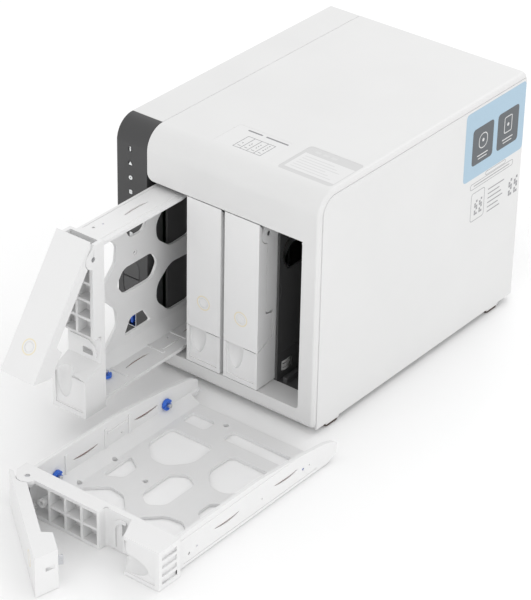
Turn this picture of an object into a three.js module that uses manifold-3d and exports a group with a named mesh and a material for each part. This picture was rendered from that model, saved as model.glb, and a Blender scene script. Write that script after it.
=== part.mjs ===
// Desktop network storage unit with four drive bays, in millimetres, +Z up.
// Bay 1's tray is drawn out with its handle part open, bays 2 and 3 are shut, bay 4 is empty
// and its tray lies on the surface in front of the case.
// Case frame while it is built: X = 0 at the left side, Y = 0 at the front face, Z = 0 at the feet.
// Tray frame: s from the tray's middle to its lower end, t from its front to the rear, and w from
// its base plate to its open side. A tray lying on its base plate has s, t, w along X, Y, Z.

import * as THREE from 'three';
import { mergeVertices } from 'three/addons/utils/BufferGeometryUtils.js';
import Module from 'manifold-3d';

const wasm = await Module();
wasm.setup();

// ---------------------------------------------------------------- driving dimensions
const GAP = 0.3; // left between pieces that touch
const WALL = 2.4; // moulded walls of the case

const DRIVE_WIDTH = 101.6; // 3.5-inch drive
const DRIVE_LENGTH = 147;
const DRIVE_HOLE_SPACING = 101.6; // side holes that the pegs enter

const BAY_COUNT = 4;
const TRAY_WIDTH = 27; // base plate to open side
const TRAY_SPACING = 3; // from one tray to the next
const TRAY_WALL = 2.6;
const TRAY_BASE = 2;
const TRAY_SIDE_ROOM = 2.9; // drive's side to the tray's wall
const TRAY_TAIL = 5.5; // walls behind the drive
const TRAY_END_INSET = 3; // bezel ends stand past the walls
const BEZEL_DEPTH = 19; // tray bezel, front to rear
const TRAY_WALL_HEIGHT = 24.6;

const HANDLE_DEPTH = 8;
const HANDLE_DEEP = 14.5; // at the tip, where the latch sits
const HANDLE_SKIN = 2.4;
const FINGER_BLOCK = 26.8; // fixed block under the handle, with the scoop
const PIVOT_INSET = 9.4; // hinge axis behind the front face and below the tray's end
const PIN_RADIUS = 1.5;
const CHEEK_RADIUS = 6.6;
const HANDLE_OPEN_MAX = 50; // degrees

const STRIP_WIDTH = 25.5; // control panel at the left of the front
const STRIP_TO_TRAY = 2.2;
const OPENING_SIDE = 2.6; // last tray to the opening's right edge
const OPENING_GAP = 0.5; // tray ends to the opening's edges
const RIGHT_BAR = 12.7;
const TOP_BAR = 34;
const BOTTOM_BAR = 11.8;
const FRAME_DEPTH = 17.5; // sills round the opening, front to rear
const FOOT_HEIGHT = 3.8;
const FOOT_SIZE = 13;
const FOOT_PAD = 1.6;
const FOOT_INSET = 0.5; // from the case's side faces
const TOP_FILLET = 15; // big round between the front and the top
const LOW_FILLET = 5;
const EDGE_BAND = 3.6; // rounded band that frames the side panel
const LEFT_EDGE_ROUND = 1.4;
const CORNER_ROUND = 5; // ends of the bars above and below the opening, beside the control panel
const PANEL_PROUD = 0.6;
const CAGE_TO_REAR = 44.5; // tray walls' rear ends to the rear panel's inner face
const REAR_RECESS = 1.8;

const CAGE_SKIN = 1.6;
const FAN_SIZE = 120;
const FAN_DEPTH = 25;
const FAN_RIM = 2.5; // thinnest place of the frame
const FAN_HOLE_INSET = 7.5;
const FAN_HUB = 20;
const FAN_BLADES = 7;

const BOARD = 1.6; // circuit boards
const LAMP_COUNT = 7;
const LAMP_PITCH = 10.1;
const LAMP_RADIUS = 1.5;
const PEG_HEAD = 3.8;
const PEG_STUD = 1.8;

const TRAY_1_OUT = 93; // how far bay 1's tray is drawn out
const HANDLE_1_OPEN = 35; // degrees
const HANDLE_4_OPEN = 38;
const LOOSE_TRAY_X = 128.7; // middle of the tray that lies in front
const LOOSE_TRAY_GAP = 9.4; // its rear end to the case's front

// ---------------------------------------------------------------- sizes worked out from those
const WALL_INNER = DRIVE_WIDTH / 2 + TRAY_SIDE_ROOM;
const WALL_OUTER = WALL_INNER + TRAY_WALL;
const TRAY_HALF = WALL_OUTER + TRAY_END_INSET;
const TRAY_LENGTH = BEZEL_DEPTH + DRIVE_LENGTH + TRAY_TAIL;
const LOOSE_TRAY_Y = -(TRAY_LENGTH + LOOSE_TRAY_GAP); // its front face
const HANDLE_TIP = TRAY_HALF - FINGER_BLOCK;
const PIVOT_S = PIVOT_INSET - TRAY_HALF;
const BAY_PITCH = TRAY_WIDTH + TRAY_SPACING;

const OPEN_LEFT = STRIP_WIDTH + GAP;
const TRAY_LEFT = STRIP_WIDTH + STRIP_TO_TRAY;
const TRAYS_RIGHT = TRAY_LEFT + BAY_PITCH * (BAY_COUNT - 1) + TRAY_WIDTH;
const OPEN_RIGHT = TRAYS_RIGHT + OPENING_SIDE;
const CASE_WIDTH = OPEN_RIGHT + RIGHT_BAR;
const OPEN_BOTTOM = FOOT_HEIGHT + BOTTOM_BAR;
const TRAY_MIDDLE = OPEN_BOTTOM + OPENING_GAP + TRAY_HALF;
const OPEN_TOP = TRAY_MIDDLE + TRAY_HALF + OPENING_GAP;
const CASE_TOP = OPEN_TOP + TOP_BAR;
const REAR_INNER = TRAY_LENGTH + CAGE_TO_REAR;
const REAR_OUTER = REAR_INNER + WALL;
const CASE_DEPTH = REAR_OUTER + REAR_RECESS;
const COVER_RIGHT = CASE_WIDTH - PANEL_PROUD;
const BASE_TOP = FOOT_HEIGHT + WALL;
const BASE_FRONT = 12;

const CAGE_FRONT = FRAME_DEPTH + GAP;
const CAGE_REAR = TRAY_LENGTH + 1;
const CAGE_LEFT = TRAY_LEFT - 0.9 - CAGE_SKIN;
const CAGE_RIGHT = TRAYS_RIGHT + 0.9 + CAGE_SKIN;
const CAGE_FLOOR_TOP = OPEN_BOTTOM - 0.4;
const CAGE_ROOF_LOW = OPEN_TOP + 0.4;
const BACKPLANE_Y = TRAY_LENGTH + 3;
const FAN_BORE = FAN_SIZE / 2 - FAN_RIM;
const FAN_HOLE_SPACING = FAN_SIZE - 2 * FAN_HOLE_INSET;
const FAN_X = (TRAY_LEFT + TRAYS_RIGHT) / 2;
const FAN_Z = TRAY_MIDDLE + 2;
const FAN_REAR = REAR_INNER - 0.4;
const FAR = 60; // how far a cutting block runs past what it cuts

const bayLeft = (bay) => TRAY_LEFT + BAY_PITCH * bay;

// ---------------------------------------------------------------- finishes
const FINISHES = {
  white: { color: 0xe6e6e6, roughness: 0.5, metalness: 0 },
  black: { color: 0x3c3c3c, roughness: 0.55, metalness: 0 },
  cage: { color: 0x2d2d2d, roughness: 0.6, metalness: 0 },
  blue: { color: 0x3f6fd0, roughness: 0.4, metalness: 0 },
  rubber: { color: 0x4a3a30, roughness: 0.85, metalness: 0 },
  steel: { color: 0xb9bcc0, roughness: 0.3, metalness: 1 },
  board: { color: 0x1f5c3a, roughness: 0.5, metalness: 0 },
  clear: { color: 0xf2f6f8, roughness: 0.2, metalness: 0 },
};

// ---------------------------------------------------------------- solid tools
function toSolid(geometry) {
  const bare = geometry.clone();
  bare.deleteAttribute('normal');
  bare.deleteAttribute('uv');
  const merged = mergeVertices(bare, 1e-4);
  const index = merged.index.array;
  const triangles = [];
  for (let i = 0; i < index.length; i += 3) {
    const [a, b, c] = [index[i], index[i + 1], index[i + 2]];
    if (a !== b && b !== c && c !== a) triangles.push(a, b, c);
  }
  return new wasm.Manifold(new wasm.Mesh({
    numProp: 3,
    vertProperties: new Float32Array(merged.attributes.position.array),
    triVerts: new Uint32Array(triangles),
  }));
}

function toGeometry(solid) {
  const mesh = solid.getMesh();
  const geometry = new THREE.BufferGeometry();
  geometry.setAttribute('position', new THREE.BufferAttribute(mesh.vertProperties, 3));
  geometry.setIndex(new THREE.BufferAttribute(mesh.triVerts, 1));
  geometry.computeVertexNormals();
  return geometry;
}

const join = (...pieces) => pieces.map(toSolid).reduce((all, piece) => all.add(piece));

function carve(solid, ...tools) {
  return tools.map(toSolid).reduce((rest, tool) => rest.subtract(tool), solid);
}

function block(x0, x1, y0, y1, z0, z1) {
  const box = new THREE.BoxGeometry(x1 - x0, y1 - y0, z1 - z0);
  return box.translate((x0 + x1) / 2, (y0 + y1) / 2, (z0 + z1) / 2);
}

// a block given by its middle on X and Z, and its span on Y
function blockAt(x, z, width, height, y0, y1) {
  return block(x - width / 2, x + width / 2, y0, y1, z - height / 2, z + height / 2);
}

function rod(axis, radius, from, to, a, b, sides = 16) {
  const geometry = new THREE.CylinderGeometry(radius, radius, to - from, sides);
  const middle = (from + to) / 2;
  if (axis === 'x') return geometry.rotateZ(-Math.PI / 2).translate(middle, a, b);
  if (axis === 'y') return geometry.translate(a, middle, b);
  return geometry.rotateX(Math.PI / 2).translate(a, b, middle);
}

const PRISM_AXES = {
  x: [[0, 1, 0], [0, 0, 1], [1, 0, 0]],
  y: [[1, 0, 0], [0, 0, 1], [0, -1, 0]],
  z: [[1, 0, 0], [0, 1, 0], [0, 0, 1]],
};

// an outline pulled straight along an axis: (y, z) along x, (x, z) along y, (x, y) along z
function prism(axis, outline, from, to, options = {}) {
  const shape = outline instanceof THREE.Shape
    ? outline
    : new THREE.Shape(outline.map(([u, v]) => new THREE.Vector2(u, v)));
  const round = options.round ?? 0;
  const geometry = new THREE.ExtrudeGeometry(shape, {
    depth: to - from - 2 * round,
    curveSegments: options.steps ?? 6,
    bevelEnabled: round > 0,
    bevelThickness: round,
    bevelSize: round,
    bevelOffset: -round,
    bevelSegments: 3,
  });
  geometry.translate(0, 0, round);
  const columns = PRISM_AXES[axis].map((column) => new THREE.Vector3(...column));
  geometry.applyMatrix4(new THREE.Matrix4().makeBasis(...columns));
  const shift = { x: [from, 0, 0], y: [0, to, 0], z: [0, 0, from] }[axis];
  return geometry.translate(...shift);
}

function roundedRectangle(u0, u1, v0, v1, r) {
  const shape = new THREE.Shape();
  shape.moveTo(u0 + r, v0);
  shape.absarc(u1 - r, v0 + r, r, -Math.PI / 2, 0);
  shape.absarc(u1 - r, v1 - r, r, 0, Math.PI / 2);
  shape.absarc(u0 + r, v1 - r, r, Math.PI / 2, Math.PI);
  shape.absarc(u0 + r, v0 + r, r, Math.PI, 1.5 * Math.PI);
  return shape;
}

const unit = new THREE.Group();

function addPiece(name, solid, finish, parent = unit) {
  const geometry = solid.isBufferGeometry ? solid : toGeometry(solid);
  const mesh = new THREE.Mesh(geometry, new THREE.MeshStandardMaterial(FINISHES[finish]));
  mesh.name = name;
  parent.add(mesh);
  return mesh;
}

// ---------------------------------------------------------------- outer shell
// the case seen from its right: front face, big top round, small bottom round
function caseProfile(inset, rear) {
  const shape = new THREE.Shape();
  const top = CASE_TOP - inset;
  const low = FOOT_HEIGHT + inset;
  shape.moveTo(rear, low);
  shape.lineTo(rear, top);
  shape.lineTo(TOP_FILLET, top);
  shape.absarc(TOP_FILLET, CASE_TOP - TOP_FILLET, TOP_FILLET - inset, Math.PI / 2, Math.PI);
  shape.absarc(LOW_FILLET, FOOT_HEIGHT + LOW_FILLET, LOW_FILLET - inset, Math.PI, 1.5 * Math.PI);
  return shape;
}

// outline of the side panel, which the cover's rounded band frames
function sidePanelOutline(clearance) {
  const front = EDGE_BAND - clearance;
  const top = CASE_TOP - EDGE_BAND + clearance;
  const radius = TOP_FILLET - EDGE_BAND + clearance;
  const shape = new THREE.Shape();
  shape.moveTo(CASE_DEPTH + clearance, FOOT_HEIGHT - clearance);
  shape.lineTo(CASE_DEPTH + clearance, top);
  shape.lineTo(TOP_FILLET, top);
  shape.absarc(TOP_FILLET, CASE_TOP - TOP_FILLET, radius, Math.PI / 2, Math.PI);
  shape.lineTo(front, FOOT_HEIGHT - clearance);
  return shape;
}

function shell(left, right, round) {
  const outer = toSolid(prism('x', caseProfile(0, CASE_DEPTH + FAR), left, right, { round }));
  const inner = toSolid(prism('x', caseProfile(WALL, CASE_DEPTH + 2 * FAR), left + WALL, right - WALL));
  return outer.subtract(inner);
}

// the spandrel that rounds a bar's corner at (u, v); du and dv point into the bar
function cornerWaste(u, v, du, dv) {
  const r = CORNER_ROUND;
  const shape = new THREE.Shape();
  shape.moveTo(u - du, v - dv);
  shape.lineTo(u + du * r, v - dv);
  shape.lineTo(u + du * r, v);
  const [from, to] = [-dv * (Math.PI / 2), du > 0 ? -dv * Math.PI : 0];
  shape.absarc(u + du * r, v + dv * r, r, from, to, du * dv > 0);
  shape.lineTo(u - du, v + dv * r);
  return prism('y', shape, -1, WALL + 1);
}

function makeOuterCover() {
  const sill = 2.2;
  const pocket = 6; // room above the opening for a handle's heel
  const roofLow = CASE_TOP - EDGE_BAND;
  const body = carve(
    shell(STRIP_WIDTH - FAR, COVER_RIGHT, EDGE_BAND - 0.2),
    block(-2 * FAR, STRIP_WIDTH, -FAR, CASE_DEPTH + 2 * FAR, -FAR, CASE_TOP + FAR),
    block(0, CASE_WIDTH + FAR, CASE_DEPTH, CASE_DEPTH + 2 * FAR, -FAR, CASE_TOP + FAR),
    block(0, COVER_RIGHT + 1, FRAME_DEPTH, CASE_DEPTH + FAR, -FAR, roofLow),
    block(0, COVER_RIGHT + 1, BASE_FRONT, CASE_DEPTH + FAR, -FAR, BASE_TOP + GAP),
    prism('x', sidePanelOutline(GAP), COVER_RIGHT - WALL - 0.2, CASE_WIDTH + FAR),
    prism('y', roundedRectangle(OPEN_LEFT - FAR, OPEN_RIGHT, OPEN_BOTTOM, OPEN_TOP, 2.5), -FAR, WALL + 1),
    prism('x', [[-1, OPEN_TOP - 1], [WALL + 1, OPEN_TOP + WALL + 1], [WALL + 1, OPEN_TOP - 1]],
      OPEN_LEFT - FAR, OPEN_RIGHT),
  );
  const ceiling = OPEN_TOP + pocket;
  const sills = join(
    prism('x', [[0, OPEN_TOP], [pocket, ceiling], [FRAME_DEPTH, ceiling], [FRAME_DEPTH, ceiling + sill],
      [pocket - 0.9, ceiling + sill], [0, OPEN_TOP + sill + 0.9]], STRIP_WIDTH, OPEN_RIGHT + sill),
    block(OPEN_RIGHT, OPEN_RIGHT + sill, 0.5, FRAME_DEPTH, OPEN_BOTTOM - sill, ceiling + sill),
    block(STRIP_WIDTH, OPEN_RIGHT + sill, 0.5, FRAME_DEPTH, OPEN_BOTTOM - sill, OPEN_BOTTOM),
  );
  const corners = [cornerWaste(STRIP_WIDTH, OPEN_TOP, 1, 1), cornerWaste(STRIP_WIDTH, OPEN_BOTTOM, 1, -1)];
  addPiece('outer_cover', carve(body.add(sills), ...corners), 'white');
}

function makeSideCovers() {
  const r = LEFT_EDGE_ROUND;
  const front = TOP_FILLET + GAP;
  const right = STRIP_WIDTH - GAP;
  const bend = new THREE.Shape();
  bend.moveTo(WALL, FOOT_HEIGHT);
  bend.lineTo(WALL, CASE_TOP - WALL);
  bend.lineTo(right, CASE_TOP - WALL);
  bend.lineTo(right, CASE_TOP);
  bend.absarc(r, CASE_TOP - r, r, Math.PI / 2, Math.PI);
  bend.lineTo(0, FOOT_HEIGHT);
  addPiece('left_side_cover', prism('y', bend, front, CASE_DEPTH), 'white');

  const edge = 1.2;
  const panel = prism('x', sidePanelOutline(0), CASE_WIDTH - WALL, CASE_WIDTH + edge, { round: edge });
  const inner = block(CASE_WIDTH - FAR, CASE_WIDTH - WALL + edge / 2, -FAR, CASE_DEPTH + FAR, -FAR, CASE_TOP);
  const outer = block(CASE_WIDTH, CASE_WIDTH + FAR, -FAR, CASE_DEPTH + FAR, -FAR, CASE_TOP);
  addPiece('right_side_panel', carve(toSolid(panel), inner, outer), 'white');
}

const FEET = [
  ['foot_front_left', 0, 0],
  ['foot_front_right', 1, 0],
  ['foot_rear_left', 0, 1],
  ['foot_rear_right', 1, 1],
];

function makeBase() {
  const rearInset = 15;
  const left = WALL + GAP;
  const right = CASE_WIDTH - WALL - GAP;
  const pieces = [block(left, right, BASE_FRONT + GAP, CASE_DEPTH, FOOT_HEIGHT, BASE_TOP)];
  const slots = [];
  for (const [name, side, end] of FEET) {
    const x = side ? CASE_WIDTH - FOOT_INSET - FOOT_SIZE : FOOT_INSET;
    const y = end ? CASE_DEPTH - rearInset - FOOT_SIZE : BASE_FRONT + 2.2;
    const [inner0, inner1] = [Math.max(x, left), Math.min(x + FOOT_SIZE, right)];
    pieces.push(block(x, x + FOOT_SIZE, y, y + FOOT_SIZE, FOOT_PAD + GAP, FOOT_HEIGHT - GAP));
    pieces.push(block(inner0, inner1, y, y + FOOT_SIZE, FOOT_PAD + GAP, FOOT_HEIGHT + 0.5));
    const pad = roundedRectangle(x + 0.3, x + FOOT_SIZE - 0.3, y + 0.3, y + FOOT_SIZE - 0.3, 2);
    addPiece(name, prism('z', pad, 0, FOOT_PAD, { steps: 3 }), 'rubber');
  }
  for (let i = 0; i < 7; i += 1) {
    const y = CASE_DEPTH * 0.3 + i * 12;
    slots.push(block(CASE_WIDTH * 0.3, CASE_WIDTH * 0.7, y, y + 3, -1, BASE_TOP + 1));
  }
  addPiece('base_panel', carve(join(...pieces), ...slots), 'white');
}

// ---------------------------------------------------------------- control panel
const STRIP_X = (STRIP_WIDTH - GAP) / 2 - 0.9;
const LAMP_TOP = CASE_TOP - 17.5;
const BUTTON_WIDTH = 13;
const BUTTON_HEIGHT = 12.5;
const POWER_Z = CASE_TOP - 103.5;
const COPY_Z = POWER_Z - BUTTON_HEIGHT - 0.8;
const USB_WIDTH = 7;
const USB_LENGTH = 14.6;
const COPY_LOW = COPY_Z - BUTTON_HEIGHT / 2;
const USB_SHARE = 0.319; // of the free height under the copy button, above the socket
const FRONT_USB_Z = COPY_LOW - USB_SHARE * (COPY_LOW - FOOT_HEIGHT - USB_LENGTH) - USB_LENGTH / 2;

// a button's outline, round at its free end; up is +1 for the upper one and -1 for the lower one
function buttonOutline(z, up, grow) {
  const half = BUTTON_WIDTH / 2 + grow;
  const flat = z - up * (BUTTON_HEIGHT / 2 + grow);
  const end = z + up * (BUTTON_HEIGHT / 2 + grow);
  const r = 5 + grow;
  const shape = new THREE.Shape();
  shape.moveTo(STRIP_X - half, flat);
  shape.lineTo(STRIP_X + half, flat);
  shape.absarc(STRIP_X + half - r, end - up * r, r, 0, up * Math.PI / 2, up < 0);
  shape.absarc(STRIP_X - half + r, end - up * r, r, up * Math.PI / 2, up * Math.PI, up < 0);
  return shape;
}

function makeControlPanel() {
  const right = STRIP_WIDTH - GAP;
  const skin = carve(
    shell(0, STRIP_WIDTH + FAR, LEFT_EDGE_ROUND),
    block(right, STRIP_WIDTH + 2 * FAR, -FAR, CASE_DEPTH + 2 * FAR, -FAR, CASE_TOP + FAR),
    block(-FAR, STRIP_WIDTH + FAR, TOP_FILLET, CASE_DEPTH + 2 * FAR, -FAR, CASE_TOP + FAR),
    block(-FAR, STRIP_WIDTH + FAR, BASE_FRONT, CASE_DEPTH, -FAR, BASE_TOP + GAP),
  );
  const jamb = block(right - 1.6, right, 0.5, TOP_FILLET, OPEN_BOTTOM - 1, OPEN_TOP + 2);
  const openings = [
    prism('y', buttonOutline(POWER_Z, 1, GAP), -1, WALL + 1, { steps: 4 }),
    prism('y', buttonOutline(COPY_Z, -1, GAP), -1, WALL + 1, { steps: 4 }),
    blockAt(STRIP_X, FRONT_USB_Z, USB_WIDTH + 2 * GAP, USB_LENGTH + 2 * GAP, -1, WALL + 1),
  ];
  for (let i = 0; i < LAMP_COUNT; i += 1) {
    openings.push(rod('y', LAMP_RADIUS + GAP, -1, WALL + 1, STRIP_X, LAMP_TOP - i * LAMP_PITCH, 10));
  }
  addPiece('control_panel', carve(skin.add(toSolid(jamb)), ...openings), 'black');

  const guideBack = WALL + 4;
  const guideLow = LAMP_TOP - LAMP_PITCH * (LAMP_COUNT - 1);
  const guide = [block(STRIP_X - 3, STRIP_X + 3, WALL + GAP, guideBack, guideLow - 4, LAMP_TOP + 4)];
  for (let i = 0; i < LAMP_COUNT; i += 1) {
    guide.push(rod('y', LAMP_RADIUS, 0.2, WALL + 1, STRIP_X, LAMP_TOP - i * LAMP_PITCH, 10));
  }
  addPiece('light_guide', join(...guide), 'clear');

  for (const [name, z, up] of [['power_button', POWER_Z, 1], ['copy_button', COPY_Z, -1]]) {
    const cap = prism('y', buttonOutline(z, up, 0), 0, WALL + 1.6, { steps: 4 });
    addPiece(name, join(cap, rod('y', 2, WALL + 1, WALL + 5, STRIP_X, z, 10)), 'black');
  }
  const boardY = WALL + 7;
  const boardLow = (COPY_LOW + FRONT_USB_Z + USB_LENGTH / 2) / 2;
  addPiece('panel_board', block(WALL + 1, right - 2.4, boardY, boardY + BOARD, boardLow, LAMP_TOP + 6), 'board');

  makeUsbPort('front_usb', STRIP_X, FRONT_USB_Z, 0.2, 13, true);
}

// a USB-A socket with its long side upright; mouth and back are places on Y
function makeUsbPort(name, x, z, mouth, back, ownTongue) {
  const skin = 0.6;
  const out = Math.sign(mouth - back);
  const [low, high] = [Math.min(mouth, back), Math.max(mouth, back)];
  const depth = 9.5;
  const inside = mouth - out * depth;
  const cavity = blockAt(x, z, USB_WIDTH - 2 * skin, USB_LENGTH - 2 * skin,
    Math.min(inside, mouth + out), Math.max(inside, mouth + out));
  const shield = carve(join(blockAt(x, z, USB_WIDTH, USB_LENGTH, low, high)), cavity);
  const [from, to] = [inside + (ownTongue ? out : -out) * GAP, mouth - out];
  const tongue = blockAt(x - 1.2, z, 1.8, USB_LENGTH - 3.2, Math.min(from, to), Math.max(from, to));
  addPiece(`${name}_port`, ownTongue ? shield : shield.add(toSolid(tongue)), 'steel');
  if (ownTongue) addPiece(`${name}_tongue`, tongue, 'blue');
}

// ---------------------------------------------------------------- drive cage
function makeCage() {
  const rail = 3.2; // pads that the tray walls slide on
  const railFront = BEZEL_DEPTH + 0.6;
  const leg = 2;
  const floor = [
    block(CAGE_LEFT, CAGE_RIGHT, CAGE_FRONT, CAGE_REAR, CAGE_FLOOR_TOP - CAGE_SKIN, CAGE_FLOOR_TOP),
    block(CAGE_LEFT, CAGE_LEFT + leg, CAGE_FRONT, CAGE_REAR, BASE_TOP + GAP, CAGE_FLOOR_TOP),
    block(CAGE_RIGHT - leg, CAGE_RIGHT, CAGE_FRONT, CAGE_REAR, BASE_TOP + GAP, CAGE_FLOOR_TOP),
  ];
  const roof = [
    block(CAGE_LEFT, CAGE_RIGHT, CAGE_FRONT, CAGE_REAR, CAGE_ROOF_LOW, CAGE_ROOF_LOW + CAGE_SKIN),
  ];
  const floorRail = TRAY_MIDDLE - WALL_OUTER - 0.4;
  const roofRail = TRAY_MIDDLE + WALL_OUTER + 0.4;
  for (let bay = 0; bay < BAY_COUNT; bay += 1) {
    const x = bayLeft(bay) + 3;
    floor.push(block(x, x + rail, railFront, CAGE_REAR, CAGE_FLOOR_TOP - 0.5, floorRail));
    floor.push(block(x + 16, x + 16 + rail, railFront, CAGE_REAR, CAGE_FLOOR_TOP - 0.5, floorRail));
    roof.push(block(x, x + rail, railFront, CAGE_REAR, roofRail, CAGE_ROOF_LOW + 0.5));
    roof.push(block(x + 16, x + 16 + rail, railFront, CAGE_REAR, roofRail, CAGE_ROOF_LOW + 0.5));
  }
  addPiece('cage_floor', join(...floor), 'cage');
  addPiece('cage_roof', join(...roof), 'cage');

  const low = CAGE_FLOOR_TOP + GAP;
  const high = CAGE_ROOF_LOW - GAP;
  const sheet = (x) => block(x, x + CAGE_SKIN, CAGE_FRONT, CAGE_REAR, low, high);
  addPiece('cage_left_wall', sheet(CAGE_LEFT), 'cage');
  addPiece('cage_right_wall', sheet(CAGE_RIGHT - CAGE_SKIN), 'cage');
  const spare = (BAY_PITCH - TRAY_WIDTH - CAGE_SKIN) / 2;
  const windowLength = (CAGE_REAR - CAGE_FRONT) / 3 - 12;
  const clip = { y: CAGE_FRONT + 4.5, z: CAGE_FLOOR_TOP + 5, length: 10, height: 7 };
  for (let bay = 1; bay < BAY_COUNT; bay += 1) {
    const x = bayLeft(bay) - spare - CAGE_SKIN;
    const windows = [0, 1, 2].map((i) => {
      const y = CAGE_FRONT + 10 + i * (windowLength + 8);
      const shape = roundedRectangle(y, y + windowLength, TRAY_MIDDLE - 30, TRAY_MIDDLE + 30, 8);
      return prism('x', shape, x - 1, x + CAGE_SKIN + 1, { steps: 3 });
    });
    if (bay === BAY_COUNT - 1) {
      windows.push(block(x - 1, x + CAGE_SKIN + 1, clip.y - GAP, clip.y + clip.length + GAP,
        clip.z - GAP, clip.z + clip.height + GAP));
    }
    addPiece(`bay_divider_${bay}`, carve(toSolid(sheet(x)), ...windows), 'cage');
  }

  // bowed sheet spring in a window of the last divider, which steadies the last bay's tray
  const back = bayLeft(BAY_COUNT - 1) - spare - CAGE_SKIN + GAP;
  const crest = back + CAGE_SKIN + 0.1;
  const bow = [[back, clip.y], [back + 0.8, clip.y], [crest, clip.y + clip.length * 0.35],
    [crest, clip.y + clip.length * 0.65], [back + 0.8, clip.y + clip.length], [back, clip.y + clip.length]];
  addPiece('bay_spring_clip', prism('z', bow, clip.z, clip.z + clip.height), 'steel');
}

// ---------------------------------------------------------------- electronics
const PORT_X = 14;
const REAR_PORTS = {
  resetZ: CASE_TOP - 29,
  usb: [['rear_usb_upper', CASE_TOP - 46], ['rear_usb_lower', CASE_TOP - 66]],
  lan: [['lan_jack_upper', CASE_TOP - 87], ['lan_jack_lower', CASE_TOP - 107]],
  inletZ: CASE_TOP - 130,
};
const LAN_WIDTH = 16;
const LAN_HEIGHT = 13.5;
const INLET_SIZE = 9.6;

function makeElectronics() {
  const windows = [];
  const sataLow = TRAY_MIDDLE - 35;
  for (let bay = 0; bay < BAY_COUNT; bay += 1) {
    const x = bayLeft(bay);
    const y = BACKPLANE_Y - GAP;
    windows.push(block(x + 11, x + 25, y - FAR, y + FAR, TRAY_MIDDLE + 5, TRAY_MIDDLE + 44));
    const body = block(x + 3, x + 9, y - 6, y, sataLow, sataLow + 34);
    const slot = block(x + 5, x + 6.6, y - 7, y - 2, sataLow + 2, sataLow + 32);
    addPiece(`sata_connector_${bay + 1}`, carve(toSolid(body), slot), 'black');
  }
  const backplane = block(CAGE_LEFT + 1, CAGE_RIGHT - 1, BACKPLANE_Y, BACKPLANE_Y + BOARD,
    TRAY_MIDDLE - WALL_INNER + 3, TRAY_MIDDLE + WALL_INNER - 3);
  addPiece('backplane_board', carve(toSolid(backplane), ...windows), 'board');

  const boardX = WALL + 1.4;
  const mainBoard = block(boardX, boardX + BOARD, BASE_FRONT + 10, REAR_INNER - 2, FOOT_HEIGHT + 8, CASE_TOP - 18);
  addPiece('main_board', mainBoard, 'board');

  for (const [name, z] of REAR_PORTS.usb) {
    makeUsbPort(name, PORT_X, z, REAR_OUTER + 0.6, REAR_OUTER - 14, false);
  }
  for (const [name, z] of REAR_PORTS.lan) {
    const body = blockAt(PORT_X, z, LAN_WIDTH, LAN_HEIGHT, REAR_OUTER - 16, REAR_OUTER + 0.6);
    const socket = blockAt(PORT_X, z + 0.6, 11.8, 8, REAR_OUTER - 12, REAR_OUTER + 2);
    const latch = blockAt(PORT_X, z - 4, 4, 3, REAR_OUTER - 12, REAR_OUTER + 2);
    addPiece(name, carve(toSolid(body), socket, latch), 'steel');
  }
  const inlet = carve(
    toSolid(blockAt(PORT_X, REAR_PORTS.inletZ, INLET_SIZE, INLET_SIZE, REAR_OUTER - 13, REAR_OUTER + 0.6)),
    rod('y', 3.2, REAR_OUTER - 10, REAR_OUTER + 2, PORT_X, REAR_PORTS.inletZ, 16),
  );
  const pin = rod('y', 1.1, REAR_OUTER - 11, REAR_OUTER - 0.5, PORT_X, REAR_PORTS.inletZ, 8);
  addPiece('power_inlet', inlet.add(toSolid(pin)), 'black');
  addPiece('reset_button', rod('y', 1.1, REAR_INNER - 4, REAR_OUTER - 0.8, PORT_X, REAR_PORTS.resetZ, 10), 'black');
}

function makeRearPanel() {
  const plate = block(WALL + GAP, CASE_WIDTH - WALL - GAP, REAR_INNER, REAR_OUTER,
    BASE_TOP + GAP, CASE_TOP - EDGE_BAND - GAP);
  const [from, to] = [REAR_INNER - 1, REAR_OUTER + 1];
  const cuts = [
    rod('y', FAN_BORE, from, to, FAN_X, FAN_Z, 32),
    rod('y', 1.5, from, to, PORT_X, REAR_PORTS.resetZ, 10),
    blockAt(PORT_X, REAR_PORTS.resetZ + 11, 7, 3, from, to),
    blockAt(PORT_X, REAR_PORTS.inletZ, INLET_SIZE + 2 * GAP, INLET_SIZE + 2 * GAP, from, to),
  ];
  for (const [, z] of REAR_PORTS.usb) {
    cuts.push(blockAt(PORT_X, z, USB_WIDTH + 2 * GAP, USB_LENGTH + 2 * GAP, from, to));
  }
  for (const [, z] of REAR_PORTS.lan) {
    cuts.push(blockAt(PORT_X, z, LAN_WIDTH + 2 * GAP, LAN_HEIGHT + 2 * GAP, from, to));
  }
  addPiece('rear_panel', carve(toSolid(plate), ...cuts), 'white');
}

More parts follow.
